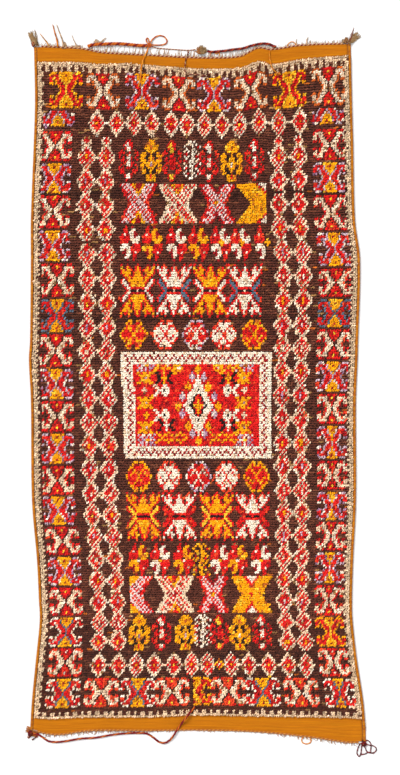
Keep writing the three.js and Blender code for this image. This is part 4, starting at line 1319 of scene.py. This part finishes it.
for seed, (node, facts) in enumerate(TASSELS.items()):
    rng = np.random.default_rng(BINDING_SEED + seed)
    parts = yarn_ball(facts["binding"], facts["half"], [DARK_RED, RUST], BINDING_TURNS, BINDING_SEED + seed)
    for lock in facts["locks"]:
        parts += bunch(*lock, rng, LOCK_RADIUS, LOCK_LIFT)
    make_piece(node + "_locks", *joined(parts), yarn_finish, "warp_wool", [node])

# Knots
# The cords are tied off in knots of their own yarn: the bow and a pale tuft on the upper edge,
# and one at each lower corner, with the loops and ends left free.
KNOT_YARN_RADIUS = 0.0025
KNOT_TURNS, KNOT_SEED, FRAY_SEED = 7, 41, 51
LOOP_SIDES = 10
KNOTS = {
    "bow_knot": {
        "place": (-0.162, 1.233), "half": (0.009, 0.009, 0.0065), "plies": [BRIGHT_ORANGE, RUST],
        "slot": "orange_yarn",
        "loops": [[(-0.166, 1.237), (-0.172, 1.246), (-0.174, 1.255), (-0.169, 1.259), (-0.165, 1.252),
                   (-0.163, 1.238)]],
    },
    "tuft_knot": {
        "place": (0.025, 1.219), "half": (0.022, 0.013, 0.008), "slot": "warp_wool", "loops": [],
    },
    "knot_bottom_left": {
        "place": (-0.591, -1.2426), "half": (0.009, 0.012, 0.007), "plies": [DARK_RED, DEEP_BROWN],
        "slot": "dark_yarn",
        "loops": [[(-0.588, -1.244), (-0.574, -1.2425), (-0.563, -1.244), (-0.566, -1.251), (-0.574, -1.259),
                   (-0.585, -1.267)]],
        "frays": [
            ((-0.588, -1.242), (-0.606, -1.228), 0.004, 0.008, 26, [RUSTY_WARP, RUST_ORANGE]),
            ((-0.588, -1.246), (-0.601, -1.262), 0.004, 0.005, 16, [RUST_ORANGE, DEEP_BROWN]),
            ((-0.588, -1.240), (-0.595, -1.226), 0.003, 0.002, 8, [DARK_RED]),
        ],
    },
    "knot_bottom_right": {
        "place": (0.610, -1.281), "half": (0.011, 0.010, 0.0065), "plies": [DARK_RED, DEEP_BROWN],
        "slot": "dark_yarn", "yarn": 0.0022,
        "loops": [
            [(0.604, -1.277), (0.596, -1.281), (0.588, -1.297), (0.585, -1.316), (0.592, -1.326),
             (0.598, -1.318), (0.600, -1.304), (0.602, -1.286)],
            [(0.598, -1.320), (0.613, -1.317), (0.626, -1.311), (0.643, -1.313), (0.653, -1.306),
             (0.654, -1.297), (0.646, -1.289), (0.631, -1.286), (0.614, -1.281)],
            [(0.607, -1.285), (0.615, -1.296), (0.618, -1.305), (0.627, -1.312), (0.645, -1.315)],
            [(0.612, -1.275), (0.622, -1.268), (0.634, -1.279), (0.635, -1.295), (0.633, -1.308)],
        ],
        "frays": [
            ((0.606, -1.281), (0.622, -1.278), 0.002, 0.003, 8, [RUST_ORANGE, AMBER_WARP]),
            ((0.603, -1.268), (0.614, -1.277), 0.004, 0.003, 10, [DARK_RED, DEEP_BROWN]),
        ],
    },
}
TUFT_STRANDS = 130
TUFT_SWAY = 0.1
TUFT_DYES, TUFT_LEFT_DYES = (TASSEL_TAN, TASSEL_OLIVE), (RUSTY_WARP, AMBER_WARP)
LEFT_BEARING = 1.9
FAN_START, FAN_SWEEP = 0.04, 0.92
LEAST_REACH, MORE_REACH = 0.7, 0.4
# Shares of the tuft's half width and depth
ROOT_WIDTH, ROOT_BACK, TIP_BACK, TIP_DEPTH = 0.4, 1.4, 0.9, 2.0


def pale_tuft(place, half, rng):
    """A tied bunch of warp ends, opened into a low fan that is browner at its left."""
    strands = []
    for number in range(TUFT_STRANDS):
        bearing = math.pi * (FAN_START + FAN_SWEEP * (number + rng.random()) / TUFT_STRANDS)
        reach = LEAST_REACH + MORE_REACH * rng.random()
        root = (place[0] + ROOT_WIDTH * half[0] * math.cos(bearing), place[1] - ROOT_BACK * half[1])
        tip = (place[0] + half[0] * reach * math.cos(bearing),
               place[1] - TIP_BACK * half[1] + TIP_DEPTH * half[1] * reach * math.sin(bearing))
        dye = (TUFT_LEFT_DYES if bearing > LEFT_BEARING else TUFT_DYES)[rng.integers(2)]
        strands.append(strand(root, tip, LOCK_RADIUS, dye, rng, TUFT_SWAY, 2 * half[2] * rng.random()))
    return strands


for seed, (node, facts) in enumerate(KNOTS.items()):
    if node == "tuft_knot":
        parts = pale_tuft(facts["place"], facts["half"], np.random.default_rng(KNOT_SEED + seed))
    else:
        parts = yarn_ball(facts["place"], facts["half"], facts["plies"], KNOT_TURNS, KNOT_SEED + seed)
    for fray in facts.get("frays", []):
        parts += bunch(*fray, np.random.default_rng(FRAY_SEED + seed), LOCK_RADIUS, LOCK_LIFT)
    for loop in facts["loops"]:
        radius = facts.get("yarn", KNOT_YARN_RADIUS)
        course = smooth_route([(x, y, radius) for x, y in loop])
        parts.append(plied_yarn(course, radius, facts["plies"], LOOP_SIDES))
    make_piece(node + "_yarn", *joined(parts), yarn_finish, facts["slot"], [node])
